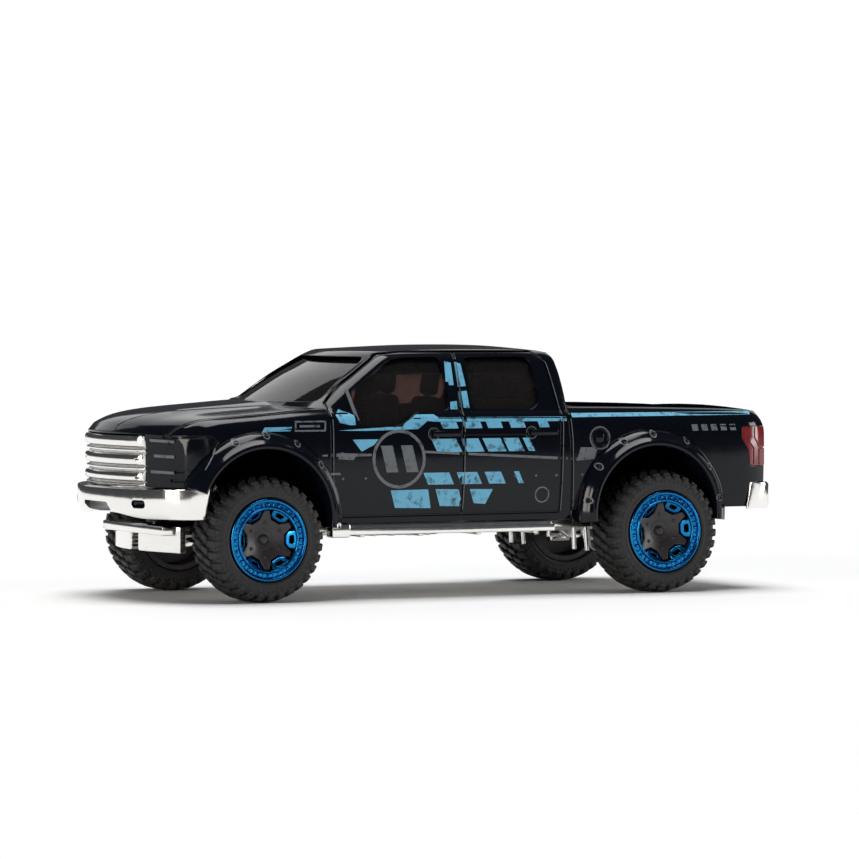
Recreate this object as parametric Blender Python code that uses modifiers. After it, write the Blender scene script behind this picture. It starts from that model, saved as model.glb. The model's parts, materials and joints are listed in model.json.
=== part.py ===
"""A toy-size diecast crew-cab pickup truck, built as it comes apart on a bench.

The casting, plated base, plated trims, glazing, cabin moulding, lamp lenses, two steel axles and
four wheels of three pieces each are separate objects. The axles turn in the base and the wheels
turn on the axles.

Units: the constants are millimetres, and MM turns them into Blender's metres.
Frame: +Z up, the nose towards -Y, the truck's left side towards +X. Every outline is drawn with
y = 0 midway between the axles. The last step moves the finished truck by MIDDLE_SHIFT, which puts
the origin on the ground under the middle of its length.
"""

import math

import bmesh
import bpy
from mathutils import Matrix, Vector

MM = 0.001

# Driving dimensions, in millimetres.
WHEELBASE = 48.0
NOSE_Y = -38.0              # front of the front bumper
TAIL_Y = 39.3               # rear of the rear bumper
MIDDLE_SHIFT = -(NOSE_Y + TAIL_Y) / 2
BODY_HALF = 13.4            # half width over the doors
FLARE_HALF = 15.2           # half width over the wheel-arch flares
ROOF_Z = 27.1
WALL = 1.1                  # thickness of the casting
GAP = 0.1                   # clearance between fixed neighbours
RUN = 0.06                  # radial clearance of a running fit

TYRE_R = 6.75
TYRE_W = 6.2
TYRE_OUT = 15.0             # distance of the tyre's outer face from the centre line
TREAD_DEPTH = 0.35
TREAD_STEPS = 48            # facets round a tyre; every other one carries a lug
RIM_R = 4.5                 # seat of the tyre on the hub
AXLE_R = 0.6
AXLE_HEAD_R = 0.9
AXLE_HEAD_LONG = 0.4
AXLE_Z = TYRE_R
FRONT_AXLE_Y = -WHEELBASE / 2
REAR_AXLE_Y = WHEELBASE / 2

ROCKER_Z = 8.25                     # bottom edge of the body under the doors
REAR_PANEL_Z = 9.3                  # bottom edge of the body at and behind the rear wheels
BUMPER_TOP_Z = 12.0
# Centre y, centre z and radius of each opening, then the lowest z of its rearward and forward legs.
FRONT_ARCH = (-24.0, 9.0, 7.4, ROCKER_Z + 0.4, BUMPER_TOP_Z + 0.3)
REAR_ARCH = (23.1, 8.7, 7.6, REAR_PANEL_Z + 0.4, REAR_PANEL_Z + 0.4)
FLARE_BAND = 1.9                    # width of the flare round the opening
BELT_Z = 20.4                       # top of the fenders and of the bed's rails
BED_FLOOR_Z = 14.6
BED_HALF = 10.8
BED_FRONT_Y = 14.4
BED_REAR_Y = 36.2
WELL_HALF = 8.3                     # inner face of the wheel wells
WELL_TOP_Z = 17.4
POST_R = 1.3
POST_HEAD_R = 2.1
FRONT_POST_Y = -30.5
REAR_POST_Y = 31.5
BASE_LOW_Z = 7.0
BASE_TOP_Z = 8.1
CASE_LOW_Z = 6.4                        # underside of the transfer case and the muffler
SPINE_HALF = 8.3                    # half width of the base between the wheels


# ---------------------------------------------------------------- helpers
def clear_scene():
    for obj in list(bpy.data.objects):
        bpy.data.objects.remove(obj, do_unlink=True)


def new_collection(name):
    collection = bpy.data.collections.new(name)
    bpy.context.scene.collection.children.link(collection)
    return collection


def finish_material(name, colour, roughness, metallic, alpha=1.0):
    material = bpy.data.materials.new(name)
    material.use_nodes = True
    shader = material.node_tree.nodes["Principled BSDF"]
    shader.inputs["Base Color"].default_value = (*colour, 1.0)
    shader.inputs["Roughness"].default_value = roughness
    shader.inputs["Metallic"].default_value = metallic
    shader.inputs["Alpha"].default_value = alpha
    return material


def object_from(bm, name, collection, material=None):
    """Turns a bmesh whose coordinates are millimetres into an object in metres."""
    bmesh.ops.scale(bm, vec=(MM, MM, MM), verts=bm.verts)
    bmesh.ops.recalc_face_normals(bm, faces=bm.faces)
    mesh = bpy.data.meshes.new(name)
    bm.to_mesh(mesh)
    bm.free()
    obj = bpy.data.objects.new(name, mesh)
    collection.objects.link(obj)
    if material:
        mesh.materials.append(material)
    if collection is cutters:
        obj.hide_render = True
        obj.display_type = "WIRE"
    return obj


def box_mesh(low, high):
    """A box between two corners, from a unit cube."""
    bm = bmesh.new()
    bmesh.ops.create_cube(bm, size=1.0)
    size = [b - a for a, b in zip(low, high)]
    middle = [(a + b) / 2 for a, b in zip(low, high)]
    bmesh.ops.scale(bm, vec=size, verts=bm.verts)
    bmesh.ops.translate(bm, vec=middle, verts=bm.verts)
    return bm


def box(name, low, high, collection, material=None):
    return object_from(box_mesh(low, high), name, collection, material)


def frustum_mesh(z, half, front, rear):
    """A box whose lid is narrower: z, half width, front y and rear y are (bottom, top) pairs."""
    bm = box_mesh((-1, -1, z[0]), (1, 1, z[1]))
    for vert in bm.verts:
        level = 1 if vert.co.z > (z[0] + z[1]) / 2 else 0
        vert.co.x = math.copysign(half[level], vert.co.x)
        vert.co.y = front[level] if vert.co.y < 0 else rear[level]
    return bm


def round_bar_mesh(radius, start, end, sides=24):
    """A solid cylinder between two points."""
    start, end = Vector(start), Vector(end)
    run = end - start
    turn = Vector((0, 0, 1)).rotation_difference(run).to_matrix().to_4x4()
    place = Matrix.Translation((start + end) / 2) @ turn
    bm = bmesh.new()
    bmesh.ops.create_cone(
        bm, cap_ends=True, segments=sides, radius1=radius, radius2=radius, depth=run.length, matrix=place
    )
    return bm


def round_bar(name, radius, start, end, collection, material=None, sides=24):
    return object_from(round_bar_mesh(radius, start, end, sides), name, collection, material)


def ball(name, radius, centre, collection):
    bm = bmesh.new()
    bmesh.ops.create_uvsphere(
        bm, u_segments=16, v_segments=8, radius=radius, matrix=Matrix.Translation(centre)
    )
    return object_from(bm, name, collection)


HANDS = {1: "left", -1: "right"}

# Each plane maps an outline's two coordinates and the extrusion's direction to x, y and z.
PLANES = {
    "side": Matrix(((0, 0, 1, 0), (1, 0, 0, 0), (0, 1, 0, 0), (0, 0, 0, 1))),    # (y, z) along x
    "plan": Matrix.Identity(4),                                                # (x, y) along z
    "front": Matrix(((1, 0, 0, 0), (0, 0, -1, 0), (0, 1, 0, 0), (0, 0, 0, 1))),  # (x, z) along -y
}


def plate(name, outline, plane, low, high, collection, material=None):
    """A flat outline extruded from low to high across its plane, as a 2D curve made into a mesh."""
    curve = bpy.data.curves.new(name, "CURVE")
    curve.dimensions = "2D"
    curve.fill_mode = "BOTH"
    curve.extrude = abs(high - low) / 2
    spline = curve.splines.new("POLY")
    spline.points.add(len(outline) - 1)
    for point, (u, v) in zip(spline.points, outline):
        point.co = (u, v, 0, 1)
    spline.use_cyclic_u = True
    source = bpy.data.objects.new(name + "_outline", curve)
    bpy.context.scene.collection.objects.link(source)
    graph = bpy.context.evaluated_depsgraph_get()
    flat = bpy.data.meshes.new_from_object(source.evaluated_get(graph))
    bm = bmesh.new()
    bm.from_mesh(flat)
    bmesh.ops.remove_doubles(bm, verts=bm.verts, dist=0.001)
    bmesh.ops.dissolve_limit(bm, angle_limit=math.radians(0.5), verts=bm.verts, edges=bm.edges)
    middle = (low + high) / 2 if plane != "front" else -(low + high) / 2
    bmesh.ops.translate(bm, vec=(0, 0, middle), verts=bm.verts)
    bmesh.ops.transform(bm, matrix=PLANES[plane], verts=bm.verts)
    bpy.data.objects.remove(source)
    bpy.data.curves.remove(curve)
    bpy.data.meshes.remove(flat)
    return object_from(bm, name, collection, material)


def arc(centre_u, centre_v, radius, start_deg, end_deg, steps):
    """Points along an arc, both ends included."""
    angles = [math.radians(start_deg + (end_deg - start_deg) * i / steps) for i in range(steps + 1)]
    return [(centre_u + radius * math.cos(a), centre_v + radius * math.sin(a)) for a in angles]


def mirrored(half_outline):
    """A closed outline from its +X half, listed from one end on the centre line to the other."""
    return half_outline + [(-u, v) for u, v in reversed(half_outline) if abs(u) > 1e-6]


def boolean(obj, tool, operation="DIFFERENCE"):
    modifier = obj.modifiers.new(f"{operation.lower()}_{tool.name}", "BOOLEAN")
    modifier.operation = operation
    modifier.object = tool
    modifier.solver = "EXACT"
    return modifier


def bevel(obj, width, segments=2, angle_deg=35):
    modifier = obj.modifiers.new("rounded_edges", "BEVEL")
    modifier.width = width * MM
    modifier.segments = segments
    modifier.limit_method = "ANGLE"
    modifier.angle_limit = math.radians(angle_deg)
    obj.modifiers.new("flat_faces", "TRIANGULATE")


def turned(name, profile, collection, material, steps):
    """A (radius, height) profile turned about Z. It starts and ends on the axis, outer side first."""
    bm = bmesh.new()
    verts = [bm.verts.new((r * MM, 0, h * MM)) for r, h in profile]
    for a, b in zip(verts, verts[1:]):
        bm.edges.new((a, b))
    mesh = bpy.data.meshes.new(name)
    bm.to_mesh(mesh)
    bm.free()
    mesh.materials.append(material)
    obj = bpy.data.objects.new(name, mesh)
    collection.objects.link(obj)
    screw = obj.modifiers.new("turned", "SCREW")
    screw.axis = "Z"
    screw.steps = steps
    screw.render_steps = steps
    screw.use_merge_vertices = True
    screw.merge_threshold = 0.000001
    return obj


# ---------------------------------------------------------------- materials and collections
clear_scene()
truck = new_collection("diecast_pickup_truck")
cutters = new_collection("cutters")

BLACK_ENAMEL = finish_material("black_enamel", (0.006, 0.008, 0.014), 0.16, 0.0)
PLATED = finish_material("silver_plating", (0.86, 0.85, 0.82), 0.14, 1.0)
BLUE_PLATED = finish_material("blue_plating", (0.01, 0.30, 0.75), 0.18, 1.0)
SMOKE_GLASS = finish_material("smoke_glazing", (0.10, 0.08, 0.07), 0.06, 0.0, 0.5)
BLACK_PLASTIC = finish_material("black_plastic", (0.02, 0.02, 0.022), 0.5, 0.0)
TYRE_RUBBER = finish_material("tyre_rubber", (0.022, 0.021, 0.022), 0.65, 0.0)
RED_LENS = finish_material("red_lens", (0.35, 0.02, 0.02), 0.12, 0.0)
STEEL = finish_material("axle_steel", (0.55, 0.55, 0.56), 0.3, 1.0)


# ---------------------------------------------------------------- body casting
SIDE_OUTLINE = [
    (-31.2, 12.1), (-36.8, 12.1), (-37.3, 17.6), (-36.9, 18.5), (-35.6, 19.1), (-33.0, 19.8),
    (-28.0, 20.4), (-17.5, 20.9), (11.8, 20.7), (12.6, BELT_Z), (36.6, BELT_Z), (37.6, 19.6),
    (37.9, 18.6),
    (37.9, 12.1), (36.6, 12.1), (36.6, REAR_PANEL_Z), (13.4, REAR_PANEL_Z), (12.2, ROCKER_Z),
    (-18.5, ROCKER_Z),
]
PLAN_OUTLINE = mirrored([
    (0.0, -37.3), (5.0, -36.7), (8.4, -35.6), (11.2, -34.2), (12.7, -32.2), (BODY_HALF, -28.5),
    (BODY_HALF, 33.0), (13.2, 36.2), (12.4, 37.4), (0.0, 38.0),
])
CAB = {"z": (19.6, ROOF_Z), "half": (12.75, 9.3), "front": (-19.9, -8.7), "rear": (13.3, 12.2)}
FRONT_WINDOW = [
    (-12.6, 22.6), (-12.4, 18.9), (-7.7, 18.9), (-5.6, 20.3), (-1.25, 20.5), (-1.35, 26.0),
    (-5.6, 26.0), (-7.5, 25.7),
]
REAR_WINDOW = [(1.5, 26.0), (1.4, 20.5), (9.0, 20.4), (9.8, 21.3), (9.5, 25.4), (8.9, 26.0)]
SCREEN = mirrored([(0.0, 21.1), (10.2, 21.1), (7.9, 25.8), (0.0, 25.8)])
BACKLIGHT = mirrored([(0.0, 21.7), (8.4, 21.7), (7.3, 25.2), (0.0, 25.2)])


def arch_outline(arch, grow, floor=None):
    """The wheel opening's outline: round above, with straight legs down where they pass the centre."""
    centre_y, centre_z, radius, rear_low, front_low = arch
    reach = radius + grow
    if floor is not None:
        rear_low = front_low = floor
    start, end = (
        math.degrees(math.asin(max(0.0, (low - centre_z) / reach))) for low in (rear_low, front_low)
    )
    outline = arc(centre_y, centre_z, reach, start, 180 - end, 20)
    if rear_low < centre_z:
        outline.insert(0, (centre_y + reach, rear_low))
    if front_low < centre_z:
        outline.append((centre_y - reach, front_low))
    if front_low != rear_low:
        outline += [(centre_y, front_low), (centre_y, rear_low)]
    return outline


def flare(name, arch, side):
    """The flared band round a wheel opening, narrower at its outer lip."""
    tool = plate(name, arch_outline(arch, FLARE_BAND), "side", side * 12.8, side * FLARE_HALF, cutters)
    centre_y, centre_z, radius = (value * MM for value in arch[:3])
    shrink = (radius + 0.7 * MM) / (radius + FLARE_BAND * MM)
    for vert in tool.data.vertices:
        if abs(vert.co.x) > (FLARE_HALF - 0.5) * MM:
            vert.co.y = centre_y + (vert.co.y - centre_y) * shrink
            if vert.co.z > centre_z:
                vert.co.z = centre_z + (vert.co.z - centre_z) * shrink
    return tool


def cab_mesh(inset, drop):
    """The cab's upper part moved in by inset on every face, and carried down by drop."""
    low, high = CAB["z"]
    height = high - low

    def at(pair, share):
        """The value on the slope, where share is 0 at the roof and 1 at the cab's base."""
        return pair[1] + (pair[0] - pair[1]) * share

    def lean(pair):
        return math.hypot(1.0, (pair[1] - pair[0]) / height)

    shares = (1 + drop / height, inset / height)
    return frustum_mesh(
        (low - drop, high - inset),
        [at(CAB["half"], share) - inset * lean(CAB["half"]) for share in shares],
        [at(CAB["front"], share) + inset * lean(CAB["front"]) for share in shares],
        [at(CAB["rear"], share) - inset * lean(CAB["rear"]) for share in shares],
    )


def make_body():
    body = plate(
        "body_shell", SIDE_OUTLINE, "side", -FLARE_HALF, FLARE_HALF, truck, BLACK_ENAMEL
    )
    plan = plate("plan_limit", PLAN_OUTLINE, "plan", 0.0, 40.0, cutters)
    boolean(body, plan, "INTERSECT")
    bevel(body, 0.7)
    cab = object_from(cab_mesh(0.0, 0.0), "cab_block", cutters)
    bevel(cab, 1.1, 3, 20)
    boolean(body, cab, "UNION")
    for label, arch in (("front", FRONT_ARCH), ("rear", REAR_ARCH)):
        for side in (-1, 1):
            boolean(body, flare(f"{label}_flare_{HANDS[side]}", arch, side), "UNION")
    hollow_body(body)
    return body


def hollow_body(body):
    """Cuts the cavities, openings and pockets, and adds the two riveting posts."""
    under_hood = box("hood_cavity", (-12.0, -33.4, 2.0), (12.0, 12.0, 18.6), cutters)
    under_bed = box("bed_cavity", (-12.2, 11.0, 2.0), (12.2, 35.4, BED_FLOOR_Z - 1.0), cutters)
    cabin = object_from(cab_mesh(WALL, 1.2), "cabin_cavity", cutters)
    bed = box("bed_space", (-BED_HALF, BED_FRONT_Y, BED_FLOOR_Z), (BED_HALF, BED_REAR_Y, 30.0), cutters)
    for side in (-1, 1):
        near, far = sorted((side * (WELL_HALF - WALL), side * 14.0))
        tub = box(f"well_{HANDS[side]}", (near, 15.0, 10.0), (far, 31.8, WELL_TOP_Z), cutters)
        boolean(bed, tub)
    for tool in (under_hood, under_bed, cabin, bed):
        boolean(body, tool)
    for side in (-1, 1):
        for label, arch, inner in (("front", FRONT_ARCH, 5.0), ("rear", REAR_ARCH, WELL_HALF)):
            opening = plate(
                f"{label}_arch_{HANDS[side]}", arch_outline(arch, 0.0, 2.0), "side",
                side * inner, side * 20, cutters,
            )
            boolean(body, opening)
    boolean(body, plate("front_window_cut", FRONT_WINDOW, "side", -20, 20, cutters))
    boolean(body, plate("rear_window_cut", REAR_WINDOW, "side", -20, 20, cutters))
    boolean(body, plate("screen_cut", SCREEN, "front", -24, -7.5, cutters))
    boolean(body, plate("backlight_cut", BACKLIGHT, "front", 9.5, 15, cutters))
    boolean(body, box("grille_pocket", (-7.9, -40, 12.0), (7.9, -34.3, 17.95), cutters))
    for side in (-1, 1):
        near, far = sorted((side * 11.57, side * 14.6))
        pocket = box(f"lamp_pocket_{HANDS[side]}", (near, 34.87, 13.87), (far, 40.0, 18.03), cutters)
        boolean(body, pocket)
    for label, y, top in (("front", FRONT_POST_Y, 19.4), ("rear", REAR_POST_Y, BED_FLOOR_Z - 0.6)):
        post = round_bar(
            f"{label}_post", POST_R, (0, y, BASE_LOW_Z - 0.3), (0, y, top), cutters, sides=20
        )
        head = round_bar(
            f"{label}_post_head", POST_HEAD_R, (0, y, BASE_LOW_Z - 0.6), (0, y, BASE_LOW_Z - GAP),
            cutters, sides=20,
        )
        boolean(body, post, "UNION")
        boolean(body, head, "UNION")


# ---------------------------------------------------------------- plated base
def make_base():
    base = box(
        "chassis_base", (-13.6, -15.4, BASE_LOW_Z), (13.6, 11.6, BASE_TOP_Z), truck, PLATED
    )
    solids = [
        box("spine", (-SPINE_HALF, -33.6, BASE_LOW_Z), (SPINE_HALF, 35.4, BASE_TOP_Z), cutters),
        box("front_axle_block", (-7.6, -25.9, 5.3), (7.6, -22.1, BASE_TOP_Z - 0.2), cutters),
        box("rear_axle_block", (-7.6, 22.1, 5.3), (7.6, 25.9, BASE_TOP_Z - 0.2), cutters),
        box("transfer_case", (-4.5, -8.5, CASE_LOW_Z), (4.5, 1.5, BASE_TOP_Z - 0.2), cutters),
        ball("front_differential", 2.3, (2.2, FRONT_AXLE_Y, 6.0), cutters),
        ball("rear_differential", 2.6, (0, REAR_AXLE_Y, 6.0), cutters),
        round_bar("drive_shaft", 0.6, (0.4, -23, 6.95), (0.4, 23, 6.95), cutters, sides=12),
        round_bar("exhaust_pipe", 0.5, (-5.8, -14.6, 6.95), (-5.8, 19.5, 6.95), cutters, sides=12),
        box("muffler", (-7.9, 3.0, CASE_LOW_Z), (-4.2, 12.5, BASE_TOP_Z - 0.2), cutters),
    ]
    for solid in solids:
        boolean(base, solid, "UNION")
    for side in (-1, 1):
        hand = HANDS[side]
        skid = plate(
            f"skid_{hand}",
            [(side * 1.1, -33.2), (side * 5.0, -32.7), (side * 8.6, -31.8), (side * 8.6, -31.0),
             (side * 5.0, -31.9), (side * 1.1, -32.4)],
            "plan", 5.2, BASE_TOP_Z - 0.2, cutters,
        )
        boolean(base, skid, "UNION")
        for label, y in (("front", FRONT_AXLE_Y + 3.4), ("rear", REAR_AXLE_Y - 3.4)):
            near, far = sorted((side * 6.0, side * 7.4))
            spring = box(f"{label}_{hand}_spring", (near, y - 0.8, 5.0), (far, y + 0.8, 7.6), cutters)
            boolean(base, spring, "UNION")
    for label, y in (("front", FRONT_AXLE_Y), ("rear", REAR_AXLE_Y)):
        bore = round_bar(f"{label}_axle_bore", AXLE_R + RUN, (-20, y, AXLE_Z), (20, y, AXLE_Z), cutters)
        boolean(base, bore)
    for label, y in (("front", FRONT_POST_Y), ("rear", REAR_POST_Y)):
        hole = round_bar(
            f"{label}_post_hole", POST_R + GAP, (0, y, 2), (0, y, 12), cutters, sides=20
        )
        boolean(base, hole)
    return base


# ---------------------------------------------------------------- plated trims
def make_grille():
    """The grille insert: a bowed frame with three cross bars standing on its back plate."""
    back = plate(
        "grille",
        mirrored([(0.0, -36.2), (7.7, -35.2), (7.7, -34.6), (0.0, -35.2)]),
        "plan", 12.2, 17.8, truck, PLATED,
    )
    for row, z in enumerate((12.5, 14.0, 15.5, 17.05)):
        bar = plate(
            f"grille_bar_{row}",
            mirrored([(0.0, -37.2), (4.5, -36.8), (7.7, -35.9), (7.7, -35.0), (0.0, -35.8)]),
            "plan", z - 0.3, z + 0.75, cutters,
        )
        boolean(back, bar, "UNION")
    for side in (-1, 1):
        near, far = sorted((side * 6.9, side * 7.7))
        post = box(f"grille_post_{side}", (near, -36.1, 12.2), (far, -34.8, 17.8), cutters)
        boolean(back, post, "UNION")
    return back


def make_bumpers():
    front = plate(
        "front_bumper",
        mirrored([
            (0.0, NOSE_Y), (5.0, -37.6), (8.6, -36.5), (11.2, -35.1), (13.0, -33.1), (13.6, -31.0),
            (12.5, -31.0), (11.9, -32.6), (10.4, -34.2), (8.2, -35.3), (4.8, -36.3), (0.0, -36.7),
        ]),
        "plan", 8.95, BUMPER_TOP_Z, truck, PLATED,
    )
    bevel(front, 0.35)
    rear = plate(
        "rear_bumper",
        mirrored([
            (0.0, TAIL_Y), (10.6, 39.1), (12.5, 38.6), (13.2, 36.8), (12.2, 36.8), (0.0, 36.8),
        ]),
        "plan", 8.95, BUMPER_TOP_Z, truck, PLATED,
    )
    bevel(rear, 0.3)
    for side, hand in HANDS.items():
        near, far = sorted((side * 3.0, side * 6.0))
        low = BASE_TOP_Z + GAP
        front_arm = box(f"front_arm_{hand}", (near, -36.9, low), (far, -32.6, 9.7), cutters)
        rear_arm = box(f"rear_arm_{hand}", (near, 34.0, low), (far, 38.6, 9.15), cutters)
        boolean(front, front_arm, "UNION")
        boolean(rear, rear_arm, "UNION")


# ---------------------------------------------------------------- glazing, cabin and lamps
def make_glazing():
    """One clear moulding inside the cab: walls and roof in one, open below."""
    glazing = object_from(cab_mesh(WALL + GAP, 0.9), "window_glazing", truck, SMOKE_GLASS)
    inside = object_from(cab_mesh(WALL + GAP + 0.7, 1.6), "glazing_inside", cutters)
    boolean(glazing, inside)
    return glazing


def make_cabin():
    """Floor pan, dashboard, seats and steering wheel in one black moulding."""
    floor = box("cabin_interior", (-11.0, -14.0, 8.3), (11.0, 11.0, 9.3), truck, BLACK_PLASTIC)
    solids = [
        box("rear_wall", (-10.6, 10.0, 9.0), (10.6, 10.7, 18.0), cutters),
        box("dashboard", (-10.6, -14.0, 9.0), (10.6, -11.0, 18.2), cutters),
        box("tunnel", (-1.4, -12.0, 9.0), (1.4, 6.0, 13.2), cutters),
        box("rear_cushion", (-9.6, 2.4, 9.0), (9.6, 8.4, 13.4), cutters),
        box("rear_back", (-9.0, 7.0, 13.0), (9.0, 9.0, 21.6), cutters),
        round_bar("column", 0.5, (5.7, -11.6, 16.4), (5.7, -9.0, 17.4), cutters, sides=10),
    ]
    for side, hand in HANDS.items():
        middle = side * 5.5
        solids += [
            box(f"{hand}_cushion", (middle - 3.4, -7.6, 9.0), (middle + 3.4, -1.6, 13.0), cutters),
            box(f"{hand}_back", (middle - 3.1, -3.4, 12.6), (middle + 3.1, -1.6, 22.2), cutters),
            box(f"{hand}_headrest", (middle - 1.7, -3.2, 22.0), (middle + 1.7, -2.0, 24.1), cutters),
            box(f"{hand}_rear_headrest", (middle - 1.6, 7.4, 21.4), (middle + 1.6, 8.6, 23.2), cutters),
        ]
    for solid in solids:
        boolean(floor, solid, "UNION")
    wheel = object_from(steering_wheel_mesh(), "steering_wheel", cutters)
    boolean(floor, wheel, "UNION")
    return floor


def steering_wheel_mesh():
    """A plain disc with a thick edge, square to the column."""
    return round_bar_mesh(1.9, (5.7, -9.2, 17.3), (5.7, -8.6, 17.55), sides=20)


def make_lamps():
    """Red lenses let into the corners behind the bed."""
    for side, hand in HANDS.items():
        outline = [
            (side * (11.6 + GAP), 34.9 + GAP), (side * 13.35, 34.9 + GAP), (side * 13.25, 36.6),
            (side * 12.9, 37.5), (side * 12.2, 37.95), (side * (11.6 + GAP), 38.05),
        ]
        lens = plate(
            f"tail_lamp_{hand}", outline, "plan", 13.9 + GAP, 18.0 - GAP, truck, RED_LENS
        )
        bevel(lens, 0.2, 2, 50)


# ---------------------------------------------------------------- wheels and axles
def tyre_mesh():
    """A tyre turned about Z with its outer face at +Z, and a ring of lugs on each shoulder."""
    half, tread_r = TYRE_W / 2, TYRE_R - TREAD_DEPTH
    profile = [
        (RIM_R + 0.05, -half + 0.35), (RIM_R + 0.7, -half), (TYRE_R - 1.0, -half),
        (tread_r, -half + 0.55), (tread_r, -0.25), (tread_r, 0.25), (tread_r, half - 0.55),
        (TYRE_R - 1.0, half), (RIM_R + 0.7, half), (RIM_R + 0.05, half - 0.35),
    ]
    bm = bmesh.new()
    verts = [bm.verts.new((r, 0, h)) for r, h in profile]
    edges = [bm.edges.new((a, b)) for a, b in zip(verts, verts[1:] + verts[:1])]
    bmesh.ops.spin(
        bm, geom=verts + edges, axis=(0, 0, 1), cent=(0, 0, 0), angle=math.tau, steps=TREAD_STEPS,
        use_merge=True,
    )
    bmesh.ops.remove_doubles(bm, verts=bm.verts, dist=0.0005)
    bmesh.ops.recalc_face_normals(bm, faces=bm.faces)
    step = math.tau / TREAD_STEPS

    def on_lug(face):
        """The two rows of tread facets, the inner row half a pitch on from the outer one."""
        middle = face.calc_center_median()
        if abs(middle.to_2d().length - tread_r) > 0.1 or abs(middle.z) < 0.3:
            return False
        number = int((math.atan2(middle.y, middle.x) % math.tau) / step)
        return number % 2 == (0 if middle.z > 0 else 1)

    lugs = [face for face in bm.faces if on_lug(face)]
    made = bmesh.ops.extrude_discrete_faces(bm, faces=lugs)["faces"]
    for face in made:
        for vert in face.verts:
            reach = vert.co.to_2d().length
            vert.co.x *= TYRE_R / reach
            vert.co.y *= TYRE_R / reach
    return bm


def ring_star():
    """The ring's inner edge: six rounded pads reach in towards the hub."""
    edge, tip, pads = 3.25, 2.25, 6
    corners = (
        (-0.42, edge), (-0.30, tip + 0.35), (-0.19, tip), (0.19, tip), (0.30, tip + 0.35), (0.42, edge)
    )
    points = []
    for pad in range(pads):
        for share, radius in corners:
            angle = math.tau * (pad + share) / pads
            points.append((radius * math.cos(angle), radius * math.sin(angle)))
    return points


def rim_ring_mesh():
    """The plated ring about Z, cut at the origin and kept as one mesh for the four wheels."""
    ring = round_bar(
        "rim_ring", RIM_R - 0.05, (0, 0, -0.45), (0, 0, 0.4), truck, BLUE_PLATED, sides=TREAD_STEPS
    )
    boolean(ring, plate("ring_star", ring_star(), "plan", -3, 3, cutters))
    for pad in range(6):
        angle = math.tau * pad / 6
        x, y = 2.95 * math.cos(angle), 2.95 * math.sin(angle)
        boolean(ring, round_bar(f"ring_window_{pad}", 0.42, (x, y, -3), (x, y, 3), cutters, sides=10))
    graph = bpy.context.evaluated_depsgraph_get()
    mesh = bpy.data.meshes.new_from_object(ring.evaluated_get(graph))
    bpy.data.objects.remove(ring)
    return mesh


def make_hub(name):
    """The black hub: a barrel for the tyre, a dished face with a cap, and a blind bore for the axle.

    The bore opens into a pocket that holds the axle's head, as when soft plastic snaps over it.
    """
    bore, pocket = AXLE_R + RUN, AXLE_HEAD_R + 0.1
    profile = [
        (0.0, 2.6), (0.8, 2.5), (1.05, 2.1), (1.2, 1.7), (3.4, 1.3), (3.9, 2.25),
        (RIM_R, 2.25), (RIM_R, -2.75), (3.9, -2.75), (3.7, -0.3), (1.9, -0.3), (1.8, -2.4),
        (bore, -2.4), (bore, 0.0), (pocket, 0.0), (pocket, 0.7), (0.0, 0.7),
    ]
    return turned(name, profile, truck, BLACK_PLASTIC, 24)


def make_wheels():
    bm = tyre_mesh()
    bmesh.ops.scale(bm, vec=(MM, MM, MM), verts=bm.verts)
    tyre_data = bpy.data.meshes.new("tyre")
    bm.to_mesh(tyre_data)
    bm.free()
    tyre_data.materials.append(TYRE_RUBBER)
    ring_data = rim_ring_mesh()
    middle_x = TYRE_OUT - TYRE_W / 2
    for corner, side, y in (
        ("front_left", 1, FRONT_AXLE_Y), ("front_right", -1, FRONT_AXLE_Y),
        ("rear_left", 1, REAR_AXLE_Y), ("rear_right", -1, REAR_AXLE_Y),
    ):
        centre = bpy.data.objects.new(f"wheel_centre_{corner}", None)
        truck.objects.link(centre)
        centre.location = (side * middle_x * MM, y * MM, AXLE_Z * MM)
        centre.rotation_euler = (0, side * math.pi / 2, 0)
        tyre = bpy.data.objects.new(f"tyre_{corner}", tyre_data)
        truck.objects.link(tyre)
        hub = make_hub(f"hub_{corner}")
        ring = bpy.data.objects.new(f"rim_ring_{corner}", ring_data)
        truck.objects.link(ring)
        for piece in (tyre, hub, ring):
            piece.parent = centre
        ring.location = (0, 0, (TYRE_W / 2 - 0.35) * MM)


def make_axle(name, y):
    """A steel wire with an upset head at each end, turned about Z and laid across the truck."""
    end = TYRE_OUT - TYRE_W / 2 + 0.05 + AXLE_HEAD_LONG
    neck = end - AXLE_HEAD_LONG
    half = [(0.0, end), (0.5, end - 0.03), (AXLE_HEAD_R, end - 0.2), (AXLE_HEAD_R, neck), (AXLE_R, neck)]
    profile = half + [(r, -h) for r, h in reversed(half)]
    axle = turned(name, profile, truck, STEEL, 24)
    axle.location = (0, y * MM, AXLE_Z * MM)
    axle.rotation_euler = (0, math.pi / 2, 0)


# ---------------------------------------------------------------- assembly
def shift_all(distance):
    """Moves every piece and every cutter along Y. A wheel's pieces follow their centre."""
    for obj in bpy.data.objects:
        if obj.parent is None:
            obj.location.y += distance * MM


make_body()
make_base()
make_grille()
make_bumpers()
make_glazing()
make_cabin()
make_lamps()
make_axle("front_axle", FRONT_AXLE_Y)
make_axle("rear_axle", REAR_AXLE_Y)
make_wheels()
shift_all(MIDDLE_SHIFT)
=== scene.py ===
# %% [markdown]
# # A toy pickup truck with a painted metal body
# The real one is about 77 mm long. A black enamelled casting sits on a plated base, with smoke
# windows, soft tyres and blue plated wheel rings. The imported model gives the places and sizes, and
# the cells below give each piece its final shape and finish. Shapes are written in millimetres and
# scaled to metres when they become objects.

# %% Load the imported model
import json
import math

import bmesh
import bpy
from mathutils import Matrix, Vector
from mathutils.bvhtree import BVHTree

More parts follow.
